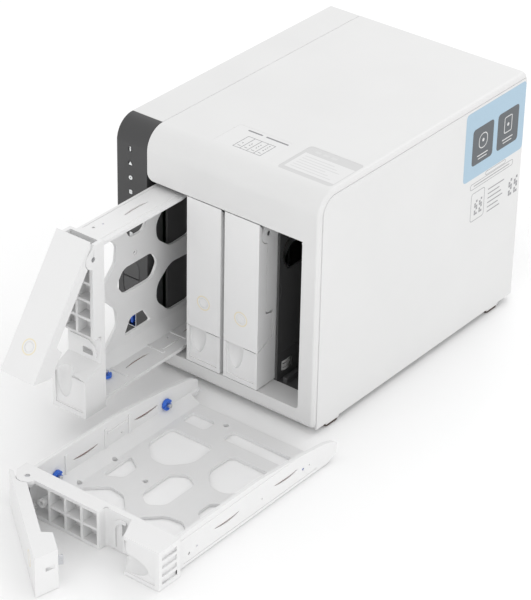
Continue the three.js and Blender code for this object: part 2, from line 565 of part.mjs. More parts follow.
// ---------------------------------------------------------------- fan
function makeFan() {
  const half = FAN_SIZE / 2;
  const front = FAN_REAR - FAN_DEPTH;
  const spacing = FAN_HOLE_SPACING / 2;
  const holes = [[1, 1], [1, -1], [-1, 1], [-1, -1]].map(([i, j]) =>
    rod('y', 2.15, front - 1, FAN_REAR + 1, FAN_X + i * spacing, FAN_Z + j * spacing, 8));
  const bore = rod('y', FAN_BORE, front - 1, FAN_REAR + 1, FAN_X, FAN_Z, 32);
  const frame = carve(toSolid(blockAt(FAN_X, FAN_Z, 2 * half, 2 * half, front, FAN_REAR)), bore, ...holes);
  const motorFront = FAN_REAR - 3;
  const struts = join(
    rod('y', FAN_HUB + 1, motorFront, FAN_REAR, FAN_X, FAN_Z, 20),
    blockAt(FAN_X, FAN_Z, 2 * FAN_BORE + 2, 4, motorFront, FAN_REAR),
    blockAt(FAN_X, FAN_Z, 4, 2 * FAN_BORE + 2, motorFront, FAN_REAR),
  );
  addPiece('fan_frame', frame.add(struts), 'cage');

  const hubFront = front + 2;
  const hubBack = motorFront - 0.5;
  const rotor = [rod('y', FAN_HUB, hubFront, hubBack, FAN_X, FAN_Z, 20)];
  const bladeLength = FAN_BORE - 2.5 - FAN_HUB + 2;
  for (let i = 0; i < FAN_BLADES; i += 1) {
    const blade = new THREE.BoxGeometry(bladeLength, 1.6, 20);
    blade.rotateX(THREE.MathUtils.degToRad(52));
    blade.translate(FAN_HUB - 2 + bladeLength / 2, 0, 0);
    blade.rotateY((i * 2 * Math.PI) / FAN_BLADES);
    rotor.push(blade.translate(FAN_X, (hubFront + hubBack) / 2, FAN_Z));
  }
  addPiece('fan_rotor', join(...rotor), 'cage');

  const [wireFront, wireBack] = [REAR_OUTER + GAP, CASE_DEPTH];
  const wire = 1.4;
  const rings = [14, 26, 38, 50].map((radius) => carve(
    toSolid(rod('y', radius + wire / 2, wireFront, wireBack, FAN_X, FAN_Z, 24)),
    rod('y', radius - wire / 2, wireFront - 1, wireBack + 1, FAN_X, FAN_Z, 24),
  ));
  let guard = rings.reduce((all, ring) => all.add(ring));
  for (let i = 0; i < 4; i += 1) {
    const arm = block(13.5, spacing * Math.SQRT2, wireFront, wireBack, -wire / 2, wire / 2);
    arm.rotateY(Math.PI / 4 + (i * Math.PI) / 2).translate(FAN_X, 0, FAN_Z);
    guard = guard.add(toSolid(arm));
  }
  for (const [i, j] of [[1, 1], [1, -1], [-1, 1], [-1, -1]]) {
    const [x, z] = [FAN_X + i * spacing, FAN_Z + j * spacing];
    guard = guard.add(toSolid(rod('y', 4, wireFront, wireBack, x, z, 12)));
    guard = guard.subtract(toSolid(rod('y', 2, wireFront - 1, wireBack + 1, x, z, 8)));
  }
  addPiece('fan_guard', guard, 'steel');
}

// ---------------------------------------------------------------- drive trays
// windows in the base plate, as shares of half the drive's width and of the drive's length
const PAIRED_WINDOWS = [
  [[-0.81, 0.76], [-0.14, 0.76], [-0.12, 0.62], [-0.33, 0.53], [-0.56, 0.525], [-0.81, 0.61]],
  [[-0.79, 0.31], [-0.79, 0.49], [-0.565, 0.44], [-0.565, 0.355]],
  [[-0.825, 0.035], [-0.825, 0.185], [-0.565, 0.27], [-0.33, 0.26], [-0.11, 0.185], [-0.11, 0.035]],
];
const SINGLE_WINDOWS = [
  [[0, 0.537], [0.185, 0.497], [0.185, 0.313], [0, 0.265], [-0.185, 0.313], [-0.185, 0.497]],
  [[-0.83, 0.85], [-0.8, 0.833], [-0.49, 0.833], [-0.465, 0.85], [-0.465, 0.89], [-0.49, 0.909],
    [-0.8, 0.909], [-0.83, 0.89]],
  [[-0.175, 0.85], [-0.15, 0.833], [0.83, 0.833], [0.83, 0.89], [0.8, 0.905], [-0.175, 0.905]],
];
const ROUND_HOLES = [[-0.33, 0.921], [-0.315, 0.39], [-0.89, 0.427], [-0.89, 0.207]];

const onDrive = ([u, v]) => [(u * DRIVE_WIDTH) / 2, BEZEL_DEPTH + v * DRIVE_LENGTH];
const PEG_W = 10;
const PEG_FRONT = BEZEL_DEPTH + 19;

// the moulded channel that holds the drive: base plate, two walls and the slopes between them
function trayChannel() {
  const slope = 4.5;
  const flat = (DRIVE_WIDTH / 2) * 0.885;
  const half = [[0, 0], [WALL_OUTER - 1.5, 0], [WALL_OUTER, 1.5], [WALL_OUTER, TRAY_WALL_HEIGHT],
    [WALL_INNER, TRAY_WALL_HEIGHT], [WALL_INNER, TRAY_BASE + slope], [flat, TRAY_BASE]];
  const section = [...half.slice(1), ...half.slice(1).reverse().map(([s, w]) => [-s, w])];
  const channel = toSolid(prism('y', section, BEZEL_DEPTH - 0.5, TRAY_LENGTH));
  const through = (outline) => prism('z', outline.map(onDrive), -1, TRAY_BASE + slope + 1);
  const mirrored = (outline) => outline.map(([u, v]) => [-u, v]);
  const tools = [
    ...PAIRED_WINDOWS.flatMap((outline) => [through(outline), through(mirrored(outline))]),
    ...SINGLE_WINDOWS.map(through),
    ...ROUND_HOLES.map((place) => rod('z', 1.8, -1, TRAY_BASE + slope + 1, ...onDrive(place), 8)),
    block(-WALL_INNER + 1.5, WALL_INNER - 1.5, TRAY_LENGTH - 8.5, TRAY_LENGTH + 1, -1, TRAY_WALL_HEIGHT + 1),
    // the walls get lower towards the rear, and their lower rear corners are cut back
    prism('x', [[TRAY_LENGTH * 0.55, TRAY_WALL_HEIGHT], [TRAY_LENGTH * 0.8, TRAY_WALL_HEIGHT - 4],
      [TRAY_LENGTH + 1, 14], [TRAY_LENGTH + 1, TRAY_WALL_HEIGHT + 1]], -WALL_OUTER - 1, WALL_OUTER + 1),
    prism('x', [[TRAY_LENGTH - 14, -1], [TRAY_LENGTH - 14, 0], [TRAY_LENGTH + 1, 5], [TRAY_LENGTH + 1, -1]],
      -WALL_OUTER - 1, WALL_OUTER + 1),
  ];
  for (const t of [PEG_FRONT, PEG_FRONT + DRIVE_HOLE_SPACING]) {
    tools.push(rod('x', PEG_STUD + GAP, -WALL_OUTER - 1, WALL_OUTER + 1, t, PEG_W, 10));
  }
  return carve(channel, ...tools);
}

// where the fixed bezel's front edge runs: behind the handle, and forward at the finger block
const STEP_S = HANDLE_TIP - 25.7;
const DIAGONAL_S = HANDLE_TIP - 6.2;

function bezelOutline() {
  const open = THREE.MathUtils.degToRad(HANDLE_OPEN_MAX + 2);
  const touch = [PIVOT_S - CHEEK_RADIUS * Math.sin(open), PIVOT_INSET - CHEEK_RADIUS * Math.cos(open)];
  const run = (TRAY_HALF + touch[0]) / Math.cos(open);
  const shape = new THREE.Shape();
  shape.moveTo(TRAY_HALF, BEZEL_DEPTH);
  shape.lineTo(-TRAY_HALF, BEZEL_DEPTH);
  shape.lineTo(-TRAY_HALF, touch[1] + run * Math.sin(open));
  shape.lineTo(...touch);
  const end = -Math.asin((PIVOT_INSET - HANDLE_DEPTH - 0.4) / CHEEK_RADIUS);
  shape.absarc(PIVOT_S, PIVOT_INSET, CHEEK_RADIUS, -Math.PI / 2 - open, end, false);
  shape.lineTo(STEP_S, HANDLE_DEPTH + 0.4);
  shape.lineTo(STEP_S, HANDLE_DEEP + 0.4);
  shape.lineTo(DIAGONAL_S, HANDLE_DEEP + 0.4);
  shape.lineTo(HANDLE_TIP + 0.5, 0);
  shape.lineTo(TRAY_HALF, 0);
  return shape;
}

function trayBezel() {
  const skin = 2.4;
  const rear = BEZEL_DEPTH - skin;
  const body = toSolid(prism('z', bezelOutline(), 0, TRAY_WIDTH, { steps: 8 }));
  const pocketEnd = PIVOT_S + 17;
  const tools = [
    // pocket for the hinge end of the handle, open at the tray's end
    block(-TRAY_HALF - 1, pocketEnd, -1, rear, skin + 0.2, TRAY_WIDTH - skin - 0.2),
    rod('z', PIN_RADIUS + GAP, -1, TRAY_WIDTH + 1, PIVOT_S, PIVOT_INSET, 10),
    // latch window behind the handle's tip
    block(DIAGONAL_S - 7.5, DIAGONAL_S - 3, HANDLE_DEEP, BEZEL_DEPTH + 1, 12, 22),
    // shallow panel in the finger block's front
    block(HANDLE_TIP + 1, TRAY_HALF - 3.1, -1, 1, 2.3, TRAY_WIDTH - 2.6),
  ];
  const rib = 1.8;
  const cellStart = pocketEnd + rib;
  const cell = (STEP_S - cellStart) / 3;
  const cellHeight = (TRAY_WIDTH - 2 * skin - rib) / 2;
  for (let column = 0; column < 3; column += 1) {
    for (const w of [skin, skin + cellHeight + rib]) {
      const s = cellStart + column * cell;
      tools.push(block(s, s + cell - rib, -1, rear, w, w + cellHeight));
    }
  }
  for (let i = 0; i < 4; i += 1) {
    tools.push(block(TRAY_HALF - 1.4, TRAY_HALF + 1, 3, BEZEL_DEPTH - 3, 3.2 + i * 5.6, 6.6 + i * 5.6));
  }
  const scoop = new THREE.SphereGeometry(1, 20, 12).scale(FINGER_BLOCK * 0.67, 6.5, TRAY_WIDTH * 0.245);
  tools.push(scoop.translate(HANDLE_TIP + 0.5, 0, TRAY_WIDTH / 3));
  return carve(body, ...tools);
}

function handleSolid() {
  const shape = new THREE.Shape();
  shape.moveTo(-TRAY_HALF, 0);
  shape.lineTo(HANDLE_TIP, 0);
  shape.lineTo(DIAGONAL_S - 0.5, HANDLE_DEEP);
  shape.lineTo(STEP_S + 2.2, HANDLE_DEEP);
  shape.lineTo(STEP_S + 0.4, HANDLE_DEPTH);
  const inner = PIVOT_INSET - HANDLE_SKIN;
  const start = -Math.asin((PIVOT_INSET - HANDLE_DEPTH) / inner);
  shape.absarc(PIVOT_S, PIVOT_INSET, inner, start, -Math.PI / 2, true);
  shape.lineTo(3 - TRAY_HALF, HANDLE_SKIN);
  const body = toSolid(prism('z', shape, 0, TRAY_WIDTH));
  const hollow = carve(
    body,
    block(PIVOT_S - 1, HANDLE_TIP - 8.7, HANDLE_SKIN, HANDLE_DEEP + 1, HANDLE_SKIN, TRAY_WIDTH - HANDLE_SKIN),
  );
  const earRadius = 5;
  const earThickness = 2.4;
  let handle = hollow;
  for (const w of [HANDLE_SKIN + 0.5, TRAY_WIDTH - HANDLE_SKIN - 0.5 - earThickness]) {
    const ear = join(
      rod('z', earRadius, w, w + earThickness, PIVOT_S, PIVOT_INSET, 16),
      block(PIVOT_S - earRadius, PIVOT_S + earRadius, HANDLE_SKIN - 0.5, PIVOT_INSET, w, w + earThickness),
    );
    handle = handle.add(ear);
  }
  return carve(handle, rod('z', PIN_RADIUS + GAP, -1, TRAY_WIDTH + 1, PIVOT_S, PIVOT_INSET, 10));
}

// damped peg: a stud through the wall, a round head inside it and a tip for the drive's hole
function pegSolid(side, t) {
  const wall = side * WALL_INNER;
  const span = (a, b) => [Math.min(wall + side * a, wall + side * b), Math.max(wall + side * a, wall + side * b)];
  return join(
    rod('x', PEG_HEAD, ...span(-GAP, -2.2), t, PEG_W, 12),
    rod('x', PEG_STUD, ...span(TRAY_WALL, -1), t, PEG_W, 10),
    rod('x', 1.4, ...span(-2, -4.6), t, PEG_W, 8),
  );
}

const TRAY_GEOMETRY = toGeometry(trayChannel().add(trayBezel()));
const HANDLE_GEOMETRY = toGeometry(handleSolid()).translate(-PIVOT_S, -PIVOT_INSET, 0);
const PIN_GEOMETRY = rod('z', PIN_RADIUS, 0.4, TRAY_WIDTH - 0.4, PIVOT_S, PIVOT_INSET, 10);
const PEG_PLACES = [
  ['upper_front', -1, PEG_FRONT],
  ['upper_rear', -1, PEG_FRONT + DRIVE_HOLE_SPACING],
  ['lower_front', 1, PEG_FRONT],
  ['lower_rear', 1, PEG_FRONT + DRIVE_HOLE_SPACING],
];

function makeTray(number, place, openDegrees, withPegs) {
  const tray = new THREE.Group();
  tray.applyMatrix4(place);
  unit.add(tray);
  addPiece(`tray_frame_${number}`, TRAY_GEOMETRY, 'white', tray);
  addPiece(`hinge_pin_${number}`, PIN_GEOMETRY, 'steel', tray);
  const swing = new THREE.Group();
  swing.position.set(PIVOT_S, PIVOT_INSET, 0);
  swing.rotation.z = THREE.MathUtils.degToRad(-openDegrees);
  tray.add(swing);
  addPiece(`tray_handle_${number}`, HANDLE_GEOMETRY, 'white', swing);
  if (!withPegs) return;
  for (const [name, side, t] of PEG_PLACES) {
    addPiece(`peg_${name}_${number}`, pegSolid(side, t), 'blue', tray);
  }
}

// a tray standing in its bay: lower end down, open side to the right
function inBay(bay, out) {
  const columns = [[0, 0, -1], [0, 1, 0], [1, 0, 0]].map((column) => new THREE.Vector3(...column));
  const turn = new THREE.Matrix4().makeBasis(...columns);
  return turn.setPosition(bayLeft(bay), -out, TRAY_MIDDLE);
}

// ---------------------------------------------------------------- assembly
makeOuterCover();
makeSideCovers();
makeBase();
makeControlPanel();
makeCage();
makeElectronics();
makeRearPanel();
makeFan();
makeTray(1, inBay(0, TRAY_1_OUT), HANDLE_1_OPEN, true);
makeTray(2, inBay(1, 0), 0, false);
makeTray(3, inBay(2, 0), 0, false);
makeTray(4, new THREE.Matrix4().setPosition(LOOSE_TRAY_X, LOOSE_TRAY_Y, 0), HANDLE_4_OPEN, true);

// the origin is the middle of the floor area that the whole set covers
const extent = new THREE.Box3().setFromObject(unit);
const middle = extent.getCenter(new THREE.Vector3());
unit.position.set(-middle.x, -middle.y, -extent.min.z);

const assembly = new THREE.Group();
assembly.add(unit);

export default assembly;
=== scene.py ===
import math

import bpy
from mathutils import Matrix, Vector


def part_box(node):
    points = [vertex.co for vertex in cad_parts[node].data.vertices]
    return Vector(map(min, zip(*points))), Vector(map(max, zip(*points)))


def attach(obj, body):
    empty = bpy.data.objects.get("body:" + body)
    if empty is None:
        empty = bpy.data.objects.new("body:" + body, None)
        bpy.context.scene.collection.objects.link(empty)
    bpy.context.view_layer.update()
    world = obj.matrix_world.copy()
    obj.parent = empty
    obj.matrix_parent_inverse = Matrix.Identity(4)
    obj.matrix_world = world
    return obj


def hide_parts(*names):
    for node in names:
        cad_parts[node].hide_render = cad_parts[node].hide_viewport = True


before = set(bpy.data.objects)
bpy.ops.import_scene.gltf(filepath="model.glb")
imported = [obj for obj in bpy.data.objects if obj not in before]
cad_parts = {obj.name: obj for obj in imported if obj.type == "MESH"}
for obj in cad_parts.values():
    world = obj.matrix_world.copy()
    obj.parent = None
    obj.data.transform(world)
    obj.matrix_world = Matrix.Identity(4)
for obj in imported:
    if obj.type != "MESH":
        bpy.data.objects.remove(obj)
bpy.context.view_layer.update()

# ------------------------------------------------------------------ base panel and feet
# The base is a moulded white ABS plate with cooling slots and four low pedestals. It closes the
# case from below, held by screws. Each pedestal carries a glued pad of dark brown rubber.
MM = 0.001
CASE = Vector((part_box("control_panel")[0].x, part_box("outer_cover")[0].y, 0)) / MM
AXES = {
    "x": lambda u, v, w: (w, u, v),
    "y": lambda u, v, w: (u, w, v),
    "z": lambda u, v, w: (u, v, w),
}


def only(*pieces):
    if bpy.context.mode != "OBJECT":
        bpy.ops.object.mode_set(mode="OBJECT")
    bpy.ops.object.select_all(action="DESELECT")
    for piece in pieces:
        piece.select_set(True)
    if pieces:
        bpy.context.view_layer.objects.active = pieces[0]


def named(name):
    piece = bpy.context.object
    piece.name = piece.data.name = name
    return piece


def settle(piece):
    only(piece)
    bpy.ops.object.transform_apply(location=True, rotation=True, scale=True)
    return piece


def block(name, x0, x1, y0, y1, z0, z1):
    only()
    middle = Vector((x0 + x1, y0 + y1, z0 + z1)) * (MM / 2)
    size = Vector((x1 - x0, y1 - y0, z1 - z0)) * MM
    bpy.ops.mesh.primitive_cube_add(size=1, location=middle, scale=size)
    return settle(named(name))


def rod(name, axis, radius, low, high, a, b, sides=24):
    only()
    middle = Vector(AXES[axis](a, b, (low + high) / 2)) * MM
    turn = {"x": (0, math.pi / 2, 0), "y": (math.pi / 2, 0, 0), "z": (0, 0, 0)}[axis]
    bpy.ops.mesh.primitive_cylinder_add(
        vertices=sides, radius=radius * MM, depth=(high - low) * MM, location=middle, rotation=turn
    )
    return settle(named(name))


def pulled(name, outline, low, high, axis="z", corner=0, steps=4):
    only()
    bpy.ops.mesh.primitive_circle_add(vertices=len(outline), radius=0.1, fill_type="NGON")
    piece = named(name)
    for vertex, (u, v) in zip(piece.data.vertices, outline):
        vertex.co = Vector(AXES[axis](u, v, low)) * MM
    bpy.ops.object.mode_set(mode="EDIT")
    bpy.ops.mesh.select_all(action="SELECT")
    if corner:
        bpy.ops.mesh.bevel(offset=corner * MM, segments=steps, affect="VERTICES")
        bpy.ops.mesh.select_all(action="SELECT")
    way = Vector(AXES[axis](0, 0, high - low)) * MM
    bpy.ops.mesh.extrude_region_move(TRANSFORM_OT_translate={"value": way})
    bpy.ops.mesh.select_all(action="SELECT")
    bpy.ops.mesh.normals_make_consistent(inside=False)
    bpy.ops.object.mode_set(mode="OBJECT")
    return piece


def joined(name, pieces):
    only(*pieces)
    if len(pieces) > 1:
        bpy.ops.object.join()
    return named(name)


def combine(piece, tools, operation="DIFFERENCE"):
    tool = joined("tool", tools) if len(tools) > 1 else tools[0]
    only(piece)
    step = piece.modifiers.new("step", "BOOLEAN")
    step.operation, step.object, step.solver = operation, tool, "EXACT"
    bpy.ops.object.modifier_apply(modifier=step.name)
    bpy.data.objects.remove(tool)
    return piece


def flat_wins(piece):
    only(piece)
    step = piece.modifiers.new("flat", "WEIGHTED_NORMAL")
    step.keep_sharp = True
    bpy.ops.object.modifier_apply(modifier=step.name)


def rounded(piece, width, segments=2, angle=32):
    only(piece)
    step = piece.modifiers.new("round", "BEVEL")
    step.width, step.segments = width * MM, segments
    step.limit_method, step.angle_limit = "ANGLE", math.radians(angle)
    step.use_clamp_overlap, step.miter_outer = True, "MITER_SHARP"
    bpy.ops.object.modifier_apply(modifier=step.name)
    bpy.ops.object.shade_smooth_by_angle(angle=math.radians(28))
    flat_wins(piece)
    return piece


def copy_of(node, name, merge=True):
    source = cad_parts[node]
    piece = bpy.data.objects.new(name, source.data.copy())
    bpy.context.scene.collection.objects.link(piece)
    only(piece)
    bpy.ops.object.mode_set(mode="EDIT")
    bpy.ops.mesh.select_all(action="SELECT")
    bpy.ops.mesh.remove_doubles(threshold=0.00002)
    if merge:
        bpy.ops.mesh.dissolve_limited(angle_limit=math.radians(0.6))
    bpy.ops.object.mode_set(mode="OBJECT")
    if piece.data.has_custom_normals:
        bpy.ops.mesh.customdata_custom_splitnormals_clear()
    return piece


def fit(piece, body, slot, materials, *nodes):
    piece.data.materials.clear()
    for material in materials if isinstance(materials, list) else [materials]:
        piece.data.materials.append(material)
    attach(piece, body)
    if nodes:
        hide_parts(*nodes)
    return piece


def dress(node, material):
    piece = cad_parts[node]
    for place in piece.material_slots:
        place.material = material


def moulded(name, colour, roughness, grain=1500, relief=0.03, clouds=0.03, gloss=0.5):
    material = bpy.data.materials.new(name)
    material.use_nodes = True
    nodes, links = material.node_tree.nodes, material.node_tree.links
    shader = nodes["Principled BSDF"]
    shader.inputs["Specular IOR Level"].default_value = gloss
    place = nodes.new("ShaderNodeTexCoord")
    cloud = nodes.new("ShaderNodeTexNoise")
    cloud.inputs["Scale"].default_value = 22
    cloud.inputs["Detail"].default_value = 3
    fine = nodes.new("ShaderNodeTexNoise")
    fine.inputs["Scale"].default_value = grain
    fine.inputs["Detail"].default_value = 2
    tint = nodes.new("ShaderNodeMix")
    tint.data_type = "RGBA"
    tint.inputs["A"].default_value = (*[c * (1 - clouds) for c in colour], 1)
    tint.inputs["B"].default_value = (*[min(1, c * (1 + clouds)) for c in colour], 1)
    dull = nodes.new("ShaderNodeMapRange")
    dull.inputs["To Min"].default_value = roughness - 0.06
    dull.inputs["To Max"].default_value = roughness + 0.06
    bump = nodes.new("ShaderNodeBump")
    bump.inputs["Strength"].default_value = 0.35
    bump.inputs["Distance"].default_value = relief * MM
    for noise in (cloud, fine):
        links.new(place.outputs["Object"], noise.inputs["Vector"])
    links.new(cloud.outputs["Fac"], tint.inputs["Factor"])
    links.new(tint.outputs["Result"], shader.inputs["Base Color"])
    links.new(cloud.outputs["Fac"], dull.inputs["Value"])
    links.new(dull.outputs["Result"], shader.inputs["Roughness"])
    links.new(fine.outputs["Fac"], bump.inputs["Height"])
    links.new(bump.outputs["Normal"], shader.inputs["Normal"])
    return material


white = moulded("satin_white_abs", (0.69, 0.69, 0.688), 0.42)
rubber = moulded("brown_rubber", (0.06, 0.042, 0.032), 0.8, grain=900, relief=0.08, clouds=0.12)

fit(rounded(copy_of("base_panel", "base_plate"), 0.4), "root", "white_shell", white, "base_panel")
for corner in ("front_left", "front_right", "rear_left", "rear_right"):
    pad = rounded(copy_of(f"foot_{corner}", f"pad_{corner}"), 0.35)
    fit(pad, "root", "foot_rubber", rubber, f"foot_{corner}")

# ------------------------------------------------------------------ drive cage
# The cage is near-black moulded plastic: a floor and a roof with slide rails, two side walls and
# three windowed dividers, screwed to the base. A bent steel spring in each bay steadies the tray.
cage_black = moulded("cage_black", (0.07, 0.07, 0.071), 0.5, grain=1100, relief=0.05, clouds=0.1)


def metal(name, colour, roughness, stretch=(40, 900, 900), relief=0.01):
    material = bpy.data.materials.new(name)
    material.use_nodes = True
    nodes, links = material.node_tree.nodes, material.node_tree.links
    shader = nodes["Principled BSDF"]
    shader.inputs["Metallic"].default_value = 1
    place = nodes.new("ShaderNodeTexCoord")
    lie = nodes.new("ShaderNodeMapping")
    lie.inputs["Scale"].default_value = stretch
    streaks = nodes.new("ShaderNodeTexNoise")
    streaks.inputs["Scale"].default_value = 1.5
    streaks.inputs["Detail"].default_value = 3
    tint = nodes.new("ShaderNodeMix")
    tint.data_type = "RGBA"
    tint.inputs["A"].default_value = (*[c * 0.85 for c in colour], 1)
    tint.inputs["B"].default_value = (*colour, 1)
    dull = nodes.new("ShaderNodeMapRange")
    dull.inputs["To Min"].default_value = roughness * 0.8
    dull.inputs["To Max"].default_value = roughness * 1.25
    bump = nodes.new("ShaderNodeBump")
    bump.inputs["Strength"].default_value = 0.3
    bump.inputs["Distance"].default_value = relief * MM
    links.new(place.outputs["Object"], lie.inputs["Vector"])
    links.new(lie.outputs["Vector"], streaks.inputs["Vector"])
    links.new(streaks.outputs["Fac"], tint.inputs["Factor"])
    links.new(tint.outputs["Result"], shader.inputs["Base Color"])
    links.new(streaks.outputs["Fac"], dull.inputs["Value"])
    links.new(dull.outputs["Result"], shader.inputs["Roughness"])
    links.new(streaks.outputs["Fac"], bump.inputs["Height"])
    links.new(bump.outputs["Normal"], shader.inputs["Normal"])
    return material


steel = metal("plated_steel", (0.62, 0.63, 0.65), 0.28)
nickel = moulded("satin_nickel", (0.52, 0.52, 0.51), 0.32, grain=900, relief=0.02)

for node in ("cage_floor", "cage_roof", "cage_left_wall", "cage_right_wall"):
    fit(rounded(copy_of(node, f"{node}_moulded"), 0.25), "root", "cage_plastic", cage_black, node)
for number in (1, 2):
    sheet = rounded(copy_of(f"bay_divider_{number}", f"divider_{number}"), 0.25)
    fit(sheet, "root", "cage_plastic", cage_black, f"bay_divider_{number}")
low, high = [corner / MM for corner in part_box("bay_divider_3")]
clip_low, clip_high = [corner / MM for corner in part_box("bay_spring_clip")]
sheet = block("divider_3", low.x, high.x, low.y, high.y, low.z, high.z)
holes = [block("cut", low.x - 1, high.x + 1, clip_low.y - 0.3, clip_high.y + 0.3, clip_low.z - 0.3,
               clip_high.z + 0.3)]
for y, z in ((20, 104.5), (20, 52), (66, 104.5), (66, 52), (112, 104.5), (112, 52)):
    y += CASE.y
    hexagon = [(y, z), (y + 6, z + 11.5), (y + 34, z + 11.5), (y + 40, z), (y + 34, z - 11.5), (y + 6, z - 11.5)]
    if z > 60 or y > CASE.y + 60:
        holes.append(pulled("cut", hexagon, low.x - 1, high.x + 1, axis="x", corner=2.5))
for hole in holes:
    combine(sheet, [hole])
ring = rod("ring", "x", 10.4, high.x - 0.4, high.x + 0.18, CASE.y + 10.5, 80.5, 64)
combine(ring, [rod("cut", "x", 9.8, high.x - 1, high.x + 1, CASE.y + 10.5, 80.5, 64)])
combine(ring, [block("cut", high.x - 2, high.x + 2, CASE.y - 5, low.y + 0.2, 60, 100)])
ridge = block("ridge", high.x - 0.4, high.x + 0.25, low.y + 0.2, high.y - 0.2, 34.1, 34.9)
combine(combine(sheet, [ring], "UNION"), [ridge], "UNION")
fit(rounded(sheet, 0.12), "root", "cage_plastic", cage_black, "bay_divider_3")

BAYS = [CASE.x + 27.7 + 30 * bay for bay in range(4)]
length = clip_high.y - clip_low.y
profile = [(clip_low.x, 0), (clip_low.x + 0.5, 0), (clip_high.x, 0.3 * length), (clip_high.x, 0.7 * length),
           (clip_low.x + 0.5, length), (clip_low.x, length)]
spring = pulled("bay_4_spring", [(x, clip_low.y + y) for x, y in profile], clip_low.z, clip_high.z)
slots = [block("cut", clip_low.x - 1, clip_high.x + 1, clip_low.y + 1.6, clip_high.y - 1.6, z, z + 0.7)
         for z in (clip_low.z + 1.7, clip_high.z - 2.4)]
for slot in slots:
    combine(spring, [slot])
fit(rounded(spring, 0.12), "root", "steel", nickel, "bay_spring_clip")

# ------------------------------------------------------------------ backplane and drive connectors
# The backplane is a green glass-fibre board across the cage's rear, cut out for air. Four black
# combined data and power connectors are soldered to its front, one behind each bay.
board_green = moulded("green_board", (0.02, 0.11, 0.05), 0.35, grain=600, relief=0.03, clouds=0.15)
contact_gold = metal("contact_gold", (0.85, 0.60, 0.22), 0.25)
connector_black = moulded("connector_black", (0.03, 0.03, 0.032), 0.45, grain=1300)
dress("backplane_board", board_green)
for number in (1, 2, 3, 4):
    node = f"sata_connector_{number}"
    body = rounded(copy_of(node, f"drive_connector_{number}"), 0.2)
    fit(body, "root", "black_plastic", connector_black, node)
    low, high = [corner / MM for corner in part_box(node)]
    pins = []
    for i in range(22):
        z = low.z + 3.2 + i * 1.27 + (1.2 if i > 6 else 0)
        pins.append(block("pin", low.x + 2.05, low.x + 2.25, low.y - 0.0, low.y + 3.9, z - 0.3, z + 0.3))
    fit(joined(f"drive_contacts_{number}", pins), "root", "steel", contact_gold)
parts = []
low, high = [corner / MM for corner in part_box("backplane_board")]
for i, bay in enumerate(BAYS):
    for j in range(3):
        x, z = bay + 4 + j * 5, low.z + 12 + (j % 2) * 3
        parts.append(block("chip", x, x + 3.4, low.y - 0.9, low.y - 0.05, z, z + 2.2))
fit(rounded(joined("backplane_chips", parts), 0.1), "root", "black_plastic", connector_black)

# ------------------------------------------------------------------ main board and rear sockets
# The main board stands against the left side and carries the rear sockets: two plated network
# jacks, two blue-tongued USB sockets, a round DC inlet and a recessed reset button.
socket_blue = moulded("socket_blue", (0.02, 0.10, 0.55), 0.35, grain=1200)
dress("main_board", board_green)
dress("reset_button", connector_black)
for where in ("upper", "lower"):
    node = f"lan_jack_{where}"
    shell = rounded(copy_of(node, f"network_jack_{where}"), 0.2)
    fit(shell, "root", "steel", steel, node)
    low, high = [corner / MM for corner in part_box(node)]
    wires = []
    for i in range(8):
        x = (low.x + high.x) / 2 - 3.55 + i * 1.016
        outline = [(high.y - 11.5, high.z - 2.4), (high.y - 4, high.z - 3.6), (high.y - 4, high.z - 3.3),
                   (high.y - 11.5, high.z - 2.1)]
        wires.append(pulled("wire", outline, x - 0.2, x + 0.2, axis="x"))
    fit(joined(f"network_contacts_{where}", wires), "root", "steel", contact_gold)
    node = f"rear_usb_{where}_port"
    shell = rounded(copy_of(node, f"usb_socket_{where}"), 0.12)
    fit(shell, "root", "steel", steel, node)
    low, high = [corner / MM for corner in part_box(node)]
    middle = (low + high) / 2
    tongue = block("tongue", middle.x - 2.15, middle.x - 0.25, high.y - 9.2, high.y - 0.9,
                   middle.z - 5.75, middle.z + 5.75)
    fit(rounded(joined(f"usb_tongue_{where}", [tongue]), 0.2), "root", "blue_plastic", socket_blue)
inlet = rounded(copy_of("power_inlet", "dc_inlet"), 0.25)
fit(inlet, "root", "black_plastic", connector_black, "power_inlet")
low, high = [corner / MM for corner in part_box("power_inlet")]
middle = (low + high) / 2
tip = rod("dc_pin", "y", 1.15, high.y - 10, high.y - 1.0, middle.x, middle.z, 20)
fit(rounded(tip, 0.3), "root", "steel", steel)
low, high = [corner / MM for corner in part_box("main_board")]
parts = []
for y, z, dy, dz, dx in ((60, 80, 26, 26, 8), (110, 60, 14, 12, 2), (110, 90, 14, 12, 2),
                         (150, 40, 18, 10, 5), (150, 110, 12, 12, 9), (80, 125, 30, 8, 6)):
    parts.append(block("chip", high.x + 0.02, high.x + dx, low.y + y - dy / 2, low.y + y + dy / 2,
                       z - dz / 2, z + dz / 2))
fit(rounded(joined("main_board_parts", parts), 0.3), "root", "black_plastic", connector_black)

